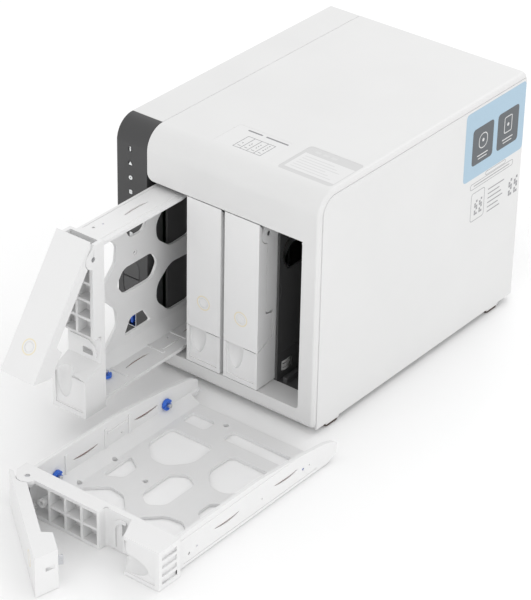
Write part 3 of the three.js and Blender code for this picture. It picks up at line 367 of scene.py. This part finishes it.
# ------------------------------------------------------------------ rear panel, fan and guard
# The rear panel is white painted sheet steel, fixed by four black screws. A 120 mm black fan is
# screwed to it from inside, and a wire guard of plated steel covers the fan's bore outside.
white_paint = moulded("white_paint", (0.78, 0.78, 0.78), 0.38, grain=2600, relief=0.015, clouds=0.02)
fan_black = moulded("fan_black", (0.018, 0.018, 0.02), 0.5, grain=1200, relief=0.04)
label_silver = moulded("plain_label", (0.55, 0.56, 0.58), 0.35, grain=900)
plate = rounded(copy_of("rear_panel", "rear_sheet"), 0.2)
fit(plate, "root", "white_metal", white_paint, "rear_panel")
low, high = [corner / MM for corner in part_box("rear_panel")]
heads = []
for x in (low.x + 5, high.x - 5):
    for z in (low.z + 6, high.z - 6):
        head = rod("screw", "y", 2.6, high.y - 0.1, high.y + 1.3, x, z, 24)
        cross = block("cut", x - 1.6, x + 1.6, high.y + 0.6, high.y + 2, z - 0.35, z + 0.35)
        combine(head, [cross])
        cross = block("cut", x - 0.35, x + 0.35, high.y + 0.61, high.y + 2.1, z - 1.6, z + 1.6)
        heads.append(combine(head, [cross]))
fit(rounded(joined("rear_screws", heads), 0.2), "root", "black_plastic", connector_black)

casing = rounded(copy_of("fan_frame", "fan_casing"), 0.8)
fit(casing, "root", "fan_plastic", fan_black, "fan_frame")
low, high = [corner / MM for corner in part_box("fan_frame")]
fan_x, fan_z = (low.x + high.x) / 2, (low.z + high.z) / 2
disc = rod("fan_label", "y", 17, high.y + 0.02, high.y + 0.12, fan_x, fan_z, 48)
fit(rounded(disc, 0.04), "root", "fan_plastic", label_silver)

low, high = [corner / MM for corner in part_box("fan_rotor")]
hub = rod("hub", "y", 20, low.y, high.y, fan_x, fan_z, 48)
parts = [rounded(hub, 1.2, 3)]
for i in range(7):
    only()
    bpy.ops.mesh.primitive_grid_add(x_subdivisions=8, y_subdivisions=5, size=1)
    blade = named("blade")
    for vertex in blade.data.vertices:
        u, v = vertex.co.x + 0.5, vertex.co.y
        reach = 18.5 + u * 36.1
        pitch = math.radians(62 - 26 * u)
        chord = (15 + 17 * u) * v
        sweep = 0.30 * u * u + chord * math.cos(pitch) / reach + i * math.tau / 7
        depth = chord * math.sin(pitch) * 0.72 + 1.6 * (1 - 4 * v * v)
        depth = max(-9.2, min(9.2, depth))
        vertex.co = (
            (fan_x + reach * math.cos(sweep)) * MM,
            ((low.y + high.y) / 2 + depth) * MM,
            (fan_z + reach * math.sin(sweep)) * MM,
        )
    only(blade)
    thick = blade.modifiers.new("thick", "SOLIDIFY")
    thick.thickness, thick.offset = 1.1 * MM, 0
    bpy.ops.object.modifier_apply(modifier=thick.name)
    bpy.ops.object.shade_smooth_by_angle(angle=math.radians(40))
    parts.append(blade)
fit(joined("fan_blades", parts), "fan", "fan_plastic", fan_black, "fan_rotor")

low, high = [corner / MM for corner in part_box("fan_guard")]
wire_y, wire = (low.y + high.y) / 2, 0.7
parts = []
for radius in (14, 26, 38, 50):
    only()
    bpy.ops.mesh.primitive_torus_add(
        major_segments=64, minor_segments=8, major_radius=radius * MM, minor_radius=wire * MM,
        location=(fan_x * MM, wire_y * MM, fan_z * MM), rotation=(math.pi / 2, 0, 0),
    )
    parts.append(settle(named("ring")))
for i in range(4):
    angle = math.pi / 4 + i * math.pi / 2
    out = Vector((math.cos(angle), 0, math.sin(angle)))
    only()
    bpy.ops.mesh.primitive_cylinder_add(
        vertices=10, radius=wire * MM, depth=61 * MM, rotation=(0, math.pi / 2 - angle, 0),
        location=Vector((fan_x, wire_y, fan_z)) * MM + out * 43.5 * MM,
    )
    parts.append(settle(named("spoke")))
    eye = Vector((fan_x, wire_y, fan_z)) + out * 52.5 * math.sqrt(2)
    pad = rod("eye", "y", 4, low.y, low.y + 1.0, eye.x, eye.z, 28)
    parts.append(rounded(pad, 0.2))
for part in parts:
    only(part)
    bpy.ops.object.shade_smooth_by_angle(angle=math.radians(40))
fit(joined("wire_guard", parts), "root", "steel", steel, "fan_guard")
heads = []
for x in (fan_x - 52.5, fan_x + 52.5):
    for z in (fan_z - 52.5, fan_z + 52.5):
        heads.append(rod("screw", "y", 2.7, low.y + 0.6, high.y, x, z, 24))
fit(rounded(joined("fan_screws", heads), 0.3), "root", "black_plastic", connector_black)

# ------------------------------------------------------------------ control strip
# A matt dark grey moulded strip closes the front at the left and wraps over the top edge. It holds
# seven status marks lit by a light guide, a power and a copy button, and a USB socket.
strip_grey = moulded("strip_dark_grey", (0.043, 0.043, 0.044), 0.40, grain=1700, relief=0.03, clouds=0.06)
button_grey = moulded("button_dark_grey", (0.06, 0.06, 0.061), 0.36, grain=1700, relief=0.02, clouds=0.06)
smoked = moulded("smoked_guide", (0.05, 0.05, 0.052), 0.30, grain=700, relief=0.01)
mark_white = moulded("mark_white", (0.80, 0.82, 0.82), 0.5, grain=1200, relief=0.01)
strip = rounded(copy_of("control_panel", "strip_skin", merge=False), 0.2)
fit(strip, "root", "black_panel", strip_grey, "control_panel")
guide = rounded(copy_of("light_guide", "lamp_guide"), 0.12)
fit(guide, "root", "clear_plastic", smoked, "light_guide")
dress("panel_board", board_green)
socket = rounded(copy_of("front_usb_port", "front_usb_shell"), 0.12)
fit(socket, "root", "steel", steel, "front_usb_port")
tongue = rounded(copy_of("front_usb_tongue", "front_usb_insert"), 0.25)
fit(tongue, "root", "blue_plastic", socket_blue, "front_usb_tongue")

low, high = [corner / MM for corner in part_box("light_guide")]
strip_x = (low.x + high.x) / 2
lamp_top = high.z - 4
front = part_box("control_panel")[0].y / MM
marks = []


def mark(x, z, width, height):
    marks.append(block("mark", x - width / 2, x + width / 2, front + 0.02, front + 0.3, z - height / 2,
                       z + height / 2))


def disc_mark(x, z, radius, hole=0):
    piece = rod("mark", "y", radius, front + 0.02, front + 0.3, x, z, 20)
    if hole:
        combine(piece, [rod("cut", "y", hole, front - 1, front + 1, x, z, 16)])
    marks.append(piece)


for row in range(7):
    z = lamp_top - row * 10.1
    if row == 0:
        disc_mark(strip_x, z + 1.2, 0.5)
        mark(strip_x, z - 0.5, 0.8, 2.0)
    elif row == 1:
        outline = [(strip_x - 1.4, z - 1.1), (strip_x + 1.4, z - 1.1), (strip_x, z + 1.3)]
        marks.append(pulled("mark", outline, front + 0.02, front + 0.3, axis="y", corner=0.3))
    elif row == 2:
        disc_mark(strip_x, z, 1.45, 0.45)
    else:
        outline = [(strip_x - 1.2, z - 1.4), (strip_x + 1.2, z - 1.4), (strip_x + 1.2, z + 1.4),
                   (strip_x - 1.2, z + 1.4)]
        case = pulled("mark", outline, front + 0.02, front + 0.3, axis="y", corner=0.6)
        marks.append(combine(case, [block("cut", strip_x - 0.6, strip_x + 0.6, front - 1, front + 1,
                                          z - 0.2, z + 0.1)]))
mark(strip_x + 8.6, 28, 0.7, 3.2)
mark(strip_x + 8.6, 26.6, 2.0, 0.6)
fit(joined("strip_marks", marks), "root", "black_panel", mark_white)

for name, body, ring in (("power_button", "power_key", 1.75), ("copy_button", "copy_key", 0)):
    cap = rounded(copy_of(name, f"{name}_cap"), 0.45, 3)
    fit(cap, body, "black_plastic", button_grey, name)
    low, high = [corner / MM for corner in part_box(name)]
    x, z = (low.x + high.x) / 2, (low.z + high.z) / 2
    marks = []
    if ring:
        disc_mark(x, z, ring, ring - 0.55)
        mark(x, z + 1.5, 0.5, 1.4)
    else:
        mark(x - 0.7, z, 0.6, 2.6)
        mark(x + 0.7, z, 0.6, 2.6)
        mark(x, z - 1.3, 2.0, 0.5)
    fit(joined(f"{name}_mark", marks), body, "black_plastic", mark_white)

# ------------------------------------------------------------------ outer cover and its labels
# The outer cover is one seamless satin white moulding: the frame round the bays, the big top round
# and the top. Two thin paper labels lie in shallow recesses in the top.
cover = copy_of("outer_cover", "cover_moulded")
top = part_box("outer_cover")[1].z / MM
ORDER_LABEL = (64, 105, 17, 44)
FRAMED_LABEL = (115, 155.5, 15, 49.5)
depth = 0.12


def label_blank(name, edges, low, high, corner):
    x0, x1, y0, y1 = edges
    outline = [(x0, y0), (x1, y0), (x1, y1), (x0, y1)]
    return pulled(name, [(x + CASE.x, y + CASE.y) for x, y in outline], low, high, corner=corner)


def grown(edges, by):
    return (edges[0] - by, edges[1] + by, edges[2] - by, edges[3] + by)


combine(cover, [label_blank("cut", grown(ORDER_LABEL, 0.05), top - depth - 0.03, top + 1, 2),
                label_blank("cut", grown(FRAMED_LABEL, 0.05), top - depth - 0.03, top + 1, 2.5)])
fit(rounded(cover, 0.3), "root", "white_shell", white, "outer_cover")

paper_white = moulded("label_white", (0.70, 0.70, 0.70), 0.30, grain=800, relief=0.01, clouds=0.01)
paper_grey = moulded("label_grey", (0.58, 0.58, 0.58), 0.40, grain=800, relief=0.01, clouds=0.02)
ink_grey = moulded("label_ink", (0.22, 0.22, 0.23), 0.50, grain=800, relief=0.01)
ink_pale = moulded("label_pale_ink", (0.62, 0.62, 0.62), 0.45, grain=800, relief=0.01)

label = label_blank("order_label", ORDER_LABEL, top - depth, top - 0.05, 2)
fit(label, "root", "white_shell", paper_white)
lines = []


def line(x0, x1, y0, y1, height=0.02, base=0.05):
    lines.append(block("line", x0 + CASE.x, x1 + CASE.x, y0 + CASE.y, y1 + CASE.y, top - base,
                       top - base + height))


cells = [78 + i * 5.25 for i in range(5)]
for x in cells:
    line(x - 0.2, x + 0.2, 19, 34.5)
for y in (19, 34.5):
    line(cells[0] - 0.2, cells[-1] + 0.2, y - 0.2, y + 0.2)
for i, x in enumerate(cells[:-1]):
    line(x + 1.5, x + 3.75, 21.5, 22)
    for j in range(i + 1):
        line(x + 2.3, x + 2.9, 25 + j * 2.2, 26.2 + j * 2.2)
line(73, 84, 40.1, 41.5)
line(87, 104, 40.1, 41.5)
line(81, 97.4, 16.4, 16.9)
fit(joined("order_label_print", lines), "root", "white_shell", ink_grey)

label = label_blank("framed_label", FRAMED_LABEL, top - depth, top - 0.05, 2.5)
fit(label, "root", "white_shell", paper_grey)
lines = []
line(117.5, 155.0, 19, 40.5)
fit(joined("framed_label_field", lines), "root", "white_shell", paper_white)
lines = []
for i in range(6):
    line(120, 150 - (i % 3) * 4, 21.5 + i * 3, 22.3 + i * 3, base=0.03)
for i in range(3):
    line(122 + i * 6, 126 + i * 6, 43.5, 46, base=0.05)
fit(joined("framed_label_print", lines), "root", "white_shell", ink_pale)

# ------------------------------------------------------------------ side covers
# The left cover and the right side panel are satin white mouldings that hook on the base. The right
# panel sits inside the cover's rounded band and carries a printed label near its rear edge.
fit(rounded(copy_of("left_side_cover", "left_cover"), 0.3), "root", "white_shell", white, "left_side_cover")
panel = copy_of("right_side_panel", "right_panel")
low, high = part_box("right_side_panel")
hold = Matrix.Translation((0, high.y, low.z))
spread = Matrix.Diagonal((1, 1 + 0.15 * MM / (high.y - low.y), 1 + 0.15 * MM / (high.z - low.z), 1))
panel.data.transform(hold @ spread @ hold.inverted())
rounded(panel, 0.15)
fit(panel, "root", "white_shell", white, "right_side_panel")

label_blue = moulded("label_blue", (0.36, 0.50, 0.61), 0.35, grain=800, relief=0.01, clouds=0.02)
label_slate = moulded("label_slate", (0.085, 0.095, 0.105), 0.40, grain=800, relief=0.01)
label_line = moulded("label_line", (0.30, 0.30, 0.31), 0.45, grain=800, relief=0.01)
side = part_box("right_side_panel")[1].x / MM


def sticker(name, y0, y1, z0, z1, low, high, corner=0):
    outline = [(y0, z0), (y1, z0), (y1, z1), (y0, z1)]
    return pulled(name, [(y + CASE.y, z) for y, z in outline], side + low, side + high, axis="x",
                  corner=corner)


def outlined(y0, y1, z0, z1, line, low, high, corner):
    band = sticker("frame", y0, y1, z0, z1, low, high, corner)
    hole = sticker("cut", y0 + line, y1 - line, z0 + line, z1 - line, -1, 1, max(0.1, corner - line))
    return combine(band, [hole])


blue = sticker("service_label_blue", 152, 219.8, 115, 164.3, 0.01, 0.06, 3)
fit(blue, "root", "white_shell", label_blue)
pads = [sticker("pad", 160.5, 184, 124.3, 150.5, 0.05, 0.09, 2.5),
        sticker("pad", 188.8, 213, 124.3, 150.5, 0.05, 0.09, 2.5)]
fit(joined("service_label_pads", pads), "root", "white_shell", label_slate)
parts = [outlined(167.5, 177.5, 134, 145, 0.7, 0.08, 0.12, 4.5), outlined(196.5, 205.5, 134, 146, 0.7, 0.08, 0.12, 1.5)]
for y in (172.5, 201):
    parts.append(rod("dot", "x", 1.2, side + 0.08, side + 0.12, y + CASE.y, 139.8, 20))
    parts.append(sticker("bar", y - 6, y + 6, 129.4, 130.2, 0.08, 0.12))
    parts.append(sticker("bar", y - 5, y + 5, 127.2, 127.9, 0.08, 0.12))
fit(joined("service_label_signs", parts), "root", "white_shell", ink_pale)
parts = [outlined(161, 210, 106.6, 111, 0.35, 0.01, 0.05, 1.5), outlined(178, 201, 111.5, 114.4, 0.35, 0.01, 0.05, 1),
         outlined(163, 178.5, 82.5, 103.5, 0.4, 0.01, 0.05, 2), sticker("bar", 165, 206, 108.5, 109.1, 0.01, 0.05)]
for y0, z0, step in ((165.4, 86.5, 1.8), (205, 84, 2.1)):
    for i in range(6):
        for j in range(6):
            if (i * i + 3 * j + i * j) % 3:
                y, z = y0 + i * step, z0 + j * step
                parts.append(sticker("cell", y, y + step - 0.25, z, z + step - 0.25, 0.01, 0.05))
for i in range(6):
    parts.append(sticker("bar", 182.5, 201 - (i * 5) % 7, 99 - i * 3.3, 99.8 - i * 3.3, 0.01, 0.05))
fit(joined("side_print", parts), "root", "white_shell", label_line)

# ------------------------------------------------------------------ drive trays
# A tray is one satin white moulding: a bezel with a ribbed front, a finger block, and a channel
# with a windowed base for the drive. The steel latch spring strips sit in slits in its walls.
tray_white = moulded("tray_white", (0.755, 0.755, 0.755), 0.45, grain=1400, relief=0.03, clouds=0.02)
spring_red = metal("spring_strip", (0.30, 0.16, 0.12), 0.4)
TRAY_HALF, WALL_IN, WALL_OUT, WALL_TOP = 59.3, 53.7, 56.3, 24.6
BEZEL, TRAY_END, TRAY_DEEP = 19.0, 171.5, 27.0
HANDLE_TIP, STEP, DIAGONAL = 32.5, 6.8, 26.3
PIVOT = Vector((-49.9, 9.4, 0))
TRAY_MIDDLE = 75.4

lying = Matrix.Translation((CASE + Vector((128.7, -180.9, 0))) * MM)


def standing(left, out):
    turn = Matrix(((0, 0, 1), (0, 1, 0), (-1, 0, 0))).to_4x4()
    return Matrix.Translation(Vector((left, CASE.y - out, TRAY_MIDDLE)) * MM) @ turn


PLACES = {1: (standing(BAYS[0], 93), 35), 2: (standing(BAYS[1], 0), 0), 3: (standing(BAYS[2], 0), 0),
          4: (lying, 38)}

bezel = copy_of("tray_frame_4", "tray_bezel", merge=False)
bezel.data.transform(lying.inverted())
only(bezel)
bpy.ops.object.mode_set(mode="EDIT")
bpy.ops.mesh.select_all(action="SELECT")
bpy.ops.mesh.bisect(plane_co=(0, (BEZEL - 0.02) * MM, 0), plane_no=(0, 1, 0), clear_outer=True, use_fill=True)
bpy.ops.object.mode_set(mode="OBJECT")

section = [(54.8, 0), (WALL_OUT, 1.5), (WALL_OUT, WALL_TOP), (WALL_IN, WALL_TOP), (WALL_IN, 6.5), (45, 2)]
channel = pulled("channel", section + [(-s, w) for s, w in reversed(section)], BEZEL - 0.3, TRAY_END, axis="y")
WINDOWS = [
    ([(-0.81, 0.76), (-0.14, 0.76), (-0.12, 0.62), (-0.33, 0.53), (-0.56, 0.525), (-0.81, 0.61)], 4, True),
    ([(-0.79, 0.31), (-0.79, 0.49), (-0.565, 0.44), (-0.565, 0.355)], 2.5, True),
    ([(-0.825, 0.035), (-0.825, 0.185), (-0.565, 0.27), (-0.33, 0.26), (-0.11, 0.185), (-0.11, 0.035)], 2.5, True),
    ([(0, 0.537), (0.185, 0.497), (0.185, 0.313), (0, 0.265), (-0.185, 0.313), (-0.185, 0.497)], 3.5, False),
    ([(-0.83, 0.833), (-0.465, 0.833), (-0.465, 0.909), (-0.83, 0.909)], 3, False),
    ([(-0.175, 0.833), (0.83, 0.833), (0.83, 0.905), (-0.175, 0.905)], 2.5, False),
]
for window, corner, paired in WINDOWS:
    for sign in (1, -1) if paired else (1,):
        outline = [(sign * u * 50.8, BEZEL + v * 147) for u, v in window]
        combine(channel, [pulled("cut", outline, -1, 8, corner=corner)])
for u, v in ((-0.33, 0.921), (-0.315, 0.39), (-0.89, 0.427), (-0.89, 0.207)):
    combine(channel, [rod("cut", "z", 1.8, -1, 8, u * 50.8, BEZEL + v * 147, 20)])
combine(channel, [block("cut", -52.2, 52.2, 163, 175, -1, 30)])
wall_top = [(94.3, WALL_TOP), (137.2, 20.6), (160, 17.2), (168, 14.5), (173, 11), (173, 30), (94.3, 30)]
combine(channel, [pulled("cut", wall_top, -60, 60, axis="x")])
combine(channel, [pulled("cut", [(157.5, -1), (157.5, 0), (173, 5.1), (173, -1)], -60, 60, axis="x")])
for t in (65, 121):
    lens = [(t + 11.5 * math.cos(a), 12 + 0.75 * math.sin(a) + 1.1 * math.cos(a) ** 2)
            for a in [i * math.tau / 20 for i in range(20)]]
    combine(channel, [pulled("cut", lens, -60, 60, axis="x")])
for t in (38, 139.6):
    combine(channel, [rod("cut", "x", 2.0, -WALL_IN - 1.9, WALL_IN + 1.9, t, 10, 24)])
for side_sign in (1, -1):
    band = sorted((side_sign * (WALL_OUT - 0.35), side_sign * (WALL_OUT + 1)))
    combine(channel, [block("cut", *band, 22, 175, 20.9, 26)])
    combine(channel, [block("cut", *band, 26, 152, 3.4, 3.9)])
tray = combine(bezel, [channel], "UNION")

parts = []
for side_sign in (1, -1):
    inner = sorted((side_sign * (WALL_IN + 0.2), side_sign * (WALL_IN - 0.7)))
    for t0, t1 in ((46, 48), (82, 84), (104, 106)):
        parts.append(block("rib", *inner, t0, t1, 6.2, 20))
    parts.append(block("ledge", *inner, 84.5, 103.5, 15.5, 17))
combine(tray, parts, "UNION")
boss = rod("boss", "y", 2.9, 8.4, 17, -38.4, 12.4, 28)
combine(boss, [rod("cut", "y", 1.1, 5, 15, -38.4, 12.4, 16)])
combine(tray, [boss], "UNION")
arch_middle = Vector((20.6, 15.2))
outer = [arch_middle + 8.6 * Vector((math.cos(a), math.sin(a))) for a in
         [math.radians(170 - i * 12) for i in range(9)]]
inner = [arch_middle + 6.0 * Vector((math.cos(a), math.sin(a))) for a in
         [math.radians(74 + i * 12) for i in range(9)]]
arch = [(12, 2.6), *outer, *inner, (14.6, 2.6)]
combine(tray, [pulled("arch", arch, 13.9, 15.3, axis="y")], "UNION")
hollow = [(6.5, 12.9), (6.8, 12.9)] + [
    (8.8 - 2 * math.cos(a), 12.9 + 2 * math.sin(a)) for a in [i * math.pi / 12 for i in range(1, 6)]
] + [(8.8, 14.9), (8.8, 15.2), (6.5, 15.2)]
combine(tray, [pulled("hollow", hollow, 0, TRAY_DEEP)], "UNION")
shoulder = [(7.2, 8), (5.2, 8), (5.2, 8.4)] + [
    (5.2 + 1.6 * math.sin(a), 10 - 1.6 * math.cos(a)) for a in [i * math.pi / 12 for i in range(1, 6)]
] + [(6.8, 10), (7.2, 10)]
combine(tray, [pulled("cut", shoulder, -1, TRAY_DEEP + 1)])
rounded(tray, 0.3, 2, 34)
for t, w, radius in ((30.5, 8.6, 1.0), (37.5, 10, 0.6), (98, 10, 0.6), (138, 10, 1.0), (144, 10, 0.6)):
    combine(tray, [rod("cut", "x", radius, -60, 60, t, w, 20)])
only(tray)
bpy.ops.object.shade_smooth_by_angle(angle=math.radians(28))
for face in tray.data.polygons:
    face.use_smooth = face.area < 20 * MM * MM
flat_wins(tray)

# the spring strips behind the slits, and the damped pegs that enter the drive's side holes
strips = []
for side_sign in (1, -1):
    for t in (65, 121):
        span = sorted((side_sign * (WALL_IN + 0.8), side_sign * (WALL_IN + 1.5)))
        strips.append(block("strip", *span, t - 11, t + 11, 11.2, 14.2))
strip_set = joined("strips", strips)

# ------------------------------------------------------------------ tray handles
# The handle is a satin white hollow cover that turns on a steel pin at the tray's top end. A small
# plated hook at its tip snaps into the bezel, and a pale yellow ring marks its face.
ring_cream = moulded("ring_cream", (0.76, 0.69, 0.52), 0.45, grain=1400, relief=0.01)
handle = copy_of("tray_handle_2", "handle_cover")
handle.data.transform(PLACES[2][0].inverted())
combine(handle, [block("cut", HANDLE_TIP - 6, HANDLE_TIP + 2, 6.6, 12.4, 15, 17.6)])
combine(handle, [rod("cut", "y", 3.3, -1, 0.35, 12.5, TRAY_DEEP / 2, 40)])
rounded(handle, 0.4, 3, 34)
spot = rounded(rod("spot", "y", 3.1, 0.05, 0.6, 12.5, TRAY_DEEP / 2, 40), 0.12)
ring = rod("ring", "y", 5.2, -0.03, 0.2, 12.5, TRAY_DEEP / 2, 40)
combine(ring, [rod("cut", "y", 4.4, -1, 1, 12.5, TRAY_DEEP / 2, 40)])
hook_outline = [(24.2, 12.4), (24.2, 13.4), (23, 13.8), (22.9, 18), (21.2, 17.4), (22, 16.8), (22, 12.4)]
hook = rounded(pulled("hook", hook_outline, 14, 20.4), 0.12)
pin = rounded(rod("pin", "z", 1.5, 0.4, TRAY_DEEP - 0.4, PIVOT.x, PIVOT.y, 28), 0.25)

peg_blue = moulded("peg_blue", (0.03, 0.14, 0.62), 0.3, grain=900, relief=0.02)
head = rod("head", "x", 3.8, -2.2, -0.3, 0, 0, 40)
only(head)
bpy.ops.object.mode_set(mode="EDIT")
bpy.ops.mesh.select_all(action="DESELECT")
bpy.ops.object.mode_set(mode="OBJECT")
for face in head.data.polygons:
    face.select = face.normal.x < -0.9
bpy.ops.object.mode_set(mode="EDIT")
bpy.ops.mesh.inset(thickness=0.9 * MM)
bpy.ops.mesh.extrude_region_move(TRANSFORM_OT_translate={"value": (0.5 * MM, 0, 0)})
bpy.ops.object.mode_set(mode="OBJECT")
combine(head, [block("cut", -3, -1.2, 2.2, 5, -0.9, 0.9), block("cut", -3, -1.2, -5, -2.2, -0.9, 0.9)])
stud = rod("stud", "x", 1.8, -1.8, 1.8, 0, 0, 24)
peg = joined("peg", [rounded(head, 0.2), rounded(stud, 0.15)])
tip = rounded(rod("tip", "x", 1.4, -4.6, -1.7, 0, 0, 24), 0.35, 3)


def placed(source, name, matrix):
    piece = bpy.data.objects.new(name, source.data.copy())
    bpy.context.scene.collection.objects.link(piece)
    piece.data.transform(matrix)
    return piece


def swung(degrees):
    to_pivot = Matrix.Translation(PIVOT * MM)
    return to_pivot @ Matrix.Rotation(math.radians(-degrees), 4, "Z") @ to_pivot.inverted()


for number, (place, degrees) in PLACES.items():
    rides, turns = f"tray_{number}", f"handle_{number}"
    fit(placed(tray, f"tray_{number}_moulded", place), rides, "tray_plastic", tray_white, f"tray_frame_{number}")
    fit(placed(strip_set, f"tray_{number}_springs", place), rides, "steel", spring_red)
    fit(placed(pin, f"tray_{number}_pin", place), rides, "steel", steel, f"hinge_pin_{number}")
    swing = place @ swung(degrees)
    fit(placed(handle, f"handle_{number}_cover", swing), turns, "tray_plastic", tray_white,
        f"tray_handle_{number}")
    fit(placed(spot, f"handle_{number}_spot", swing), turns, "tray_plastic", tray_white)
    fit(placed(ring, f"handle_{number}_ring", swing), turns, "tray_plastic", ring_cream)
    fit(placed(hook, f"handle_{number}_hook", swing), turns, "steel", steel)
    for where, sign, t in (("upper_front", -1, 38), ("upper_rear", -1, 139.6), ("lower_front", 1, 38),
                           ("lower_rear", 1, 139.6)):
        turn = Matrix.Identity(4) if sign > 0 else Matrix.Rotation(math.pi, 4, "Z")
        at = place @ Matrix.Translation(Vector((sign * WALL_IN, t, 10)) * MM) @ turn
        node = [f"peg_{where}_{number}"] if number in (1, 4) else []
        fit(placed(peg, f"damper_{where}_{number}", at), rides, "blue_plastic", peg_blue, *node)
        fit(placed(tip, f"damper_tip_{where}_{number}", at), rides, "steel", steel)
for source in (tray, strip_set, handle, spot, ring, hook, pin, peg, tip):
    bpy.data.objects.remove(source)

# ------------------------------------------------------------------ floor, lights and camera
# A plain pale floor, a bright even surround, and three large soft lights: right, front and rear.
only()
bpy.ops.mesh.primitive_grid_add(x_subdivisions=4, y_subdivisions=4, size=30, location=(0, 0, -0.0002))
floor = settle(named("floor"))
floor.data.materials.append(moulded("floor_white", (0.9, 0.9, 0.9), 0.7, grain=60, relief=0.02, clouds=0.005))

world = bpy.data.worlds.new("surround")
bpy.context.scene.world = world
world.use_nodes = True
world.node_tree.nodes["Background"].inputs["Color"].default_value = (1, 1, 1, 1)
world.node_tree.nodes["Background"].inputs["Strength"].default_value = 1.0


def soft_light(name, place, size, power):
    data = bpy.data.lights.new(name, "AREA")
    data.shape, data.size, data.energy = "SQUARE", size, power
    lamp = bpy.data.objects.new(name, data)
    bpy.context.scene.collection.objects.link(lamp)
    lamp.location = place
    lamp.rotation_euler = (Vector((0, 0, 0.08)) - Vector(place)).to_track_quat("-Z", "Y").to_euler()


soft_light("right_softbox", (1.8, -0.3, 0.3), 1.4, 6)
soft_light("front_softbox", (0.7, -1.9, 0.15), 1.2, 7)
soft_light("rear_softbox", (-0.1, 1.5, 1.5), 1.4, 9)

right = Vector((0.7845, 0.6199, 0.0183))
up = Vector((-0.3317, 0.3946, 0.8569))
back = right.cross(up).normalized()
up = back.cross(right).normalized()
camera_data = bpy.data.cameras.new("camera")
camera_data.lens, camera_data.sensor_width = 156.7, 36
camera_data.clip_start, camera_data.clip_end = 0.05, 50
camera = bpy.data.objects.new("camera", camera_data)
bpy.context.scene.collection.objects.link(camera)
camera.matrix_world = Matrix.Translation((CASE + Vector((958.5, -1085.003, 908.4))) * MM) @ Matrix(
    (right, up, back)).transposed().to_4x4()
bpy.context.scene.camera = camera
bpy.context.scene.view_settings.view_transform = "Standard"
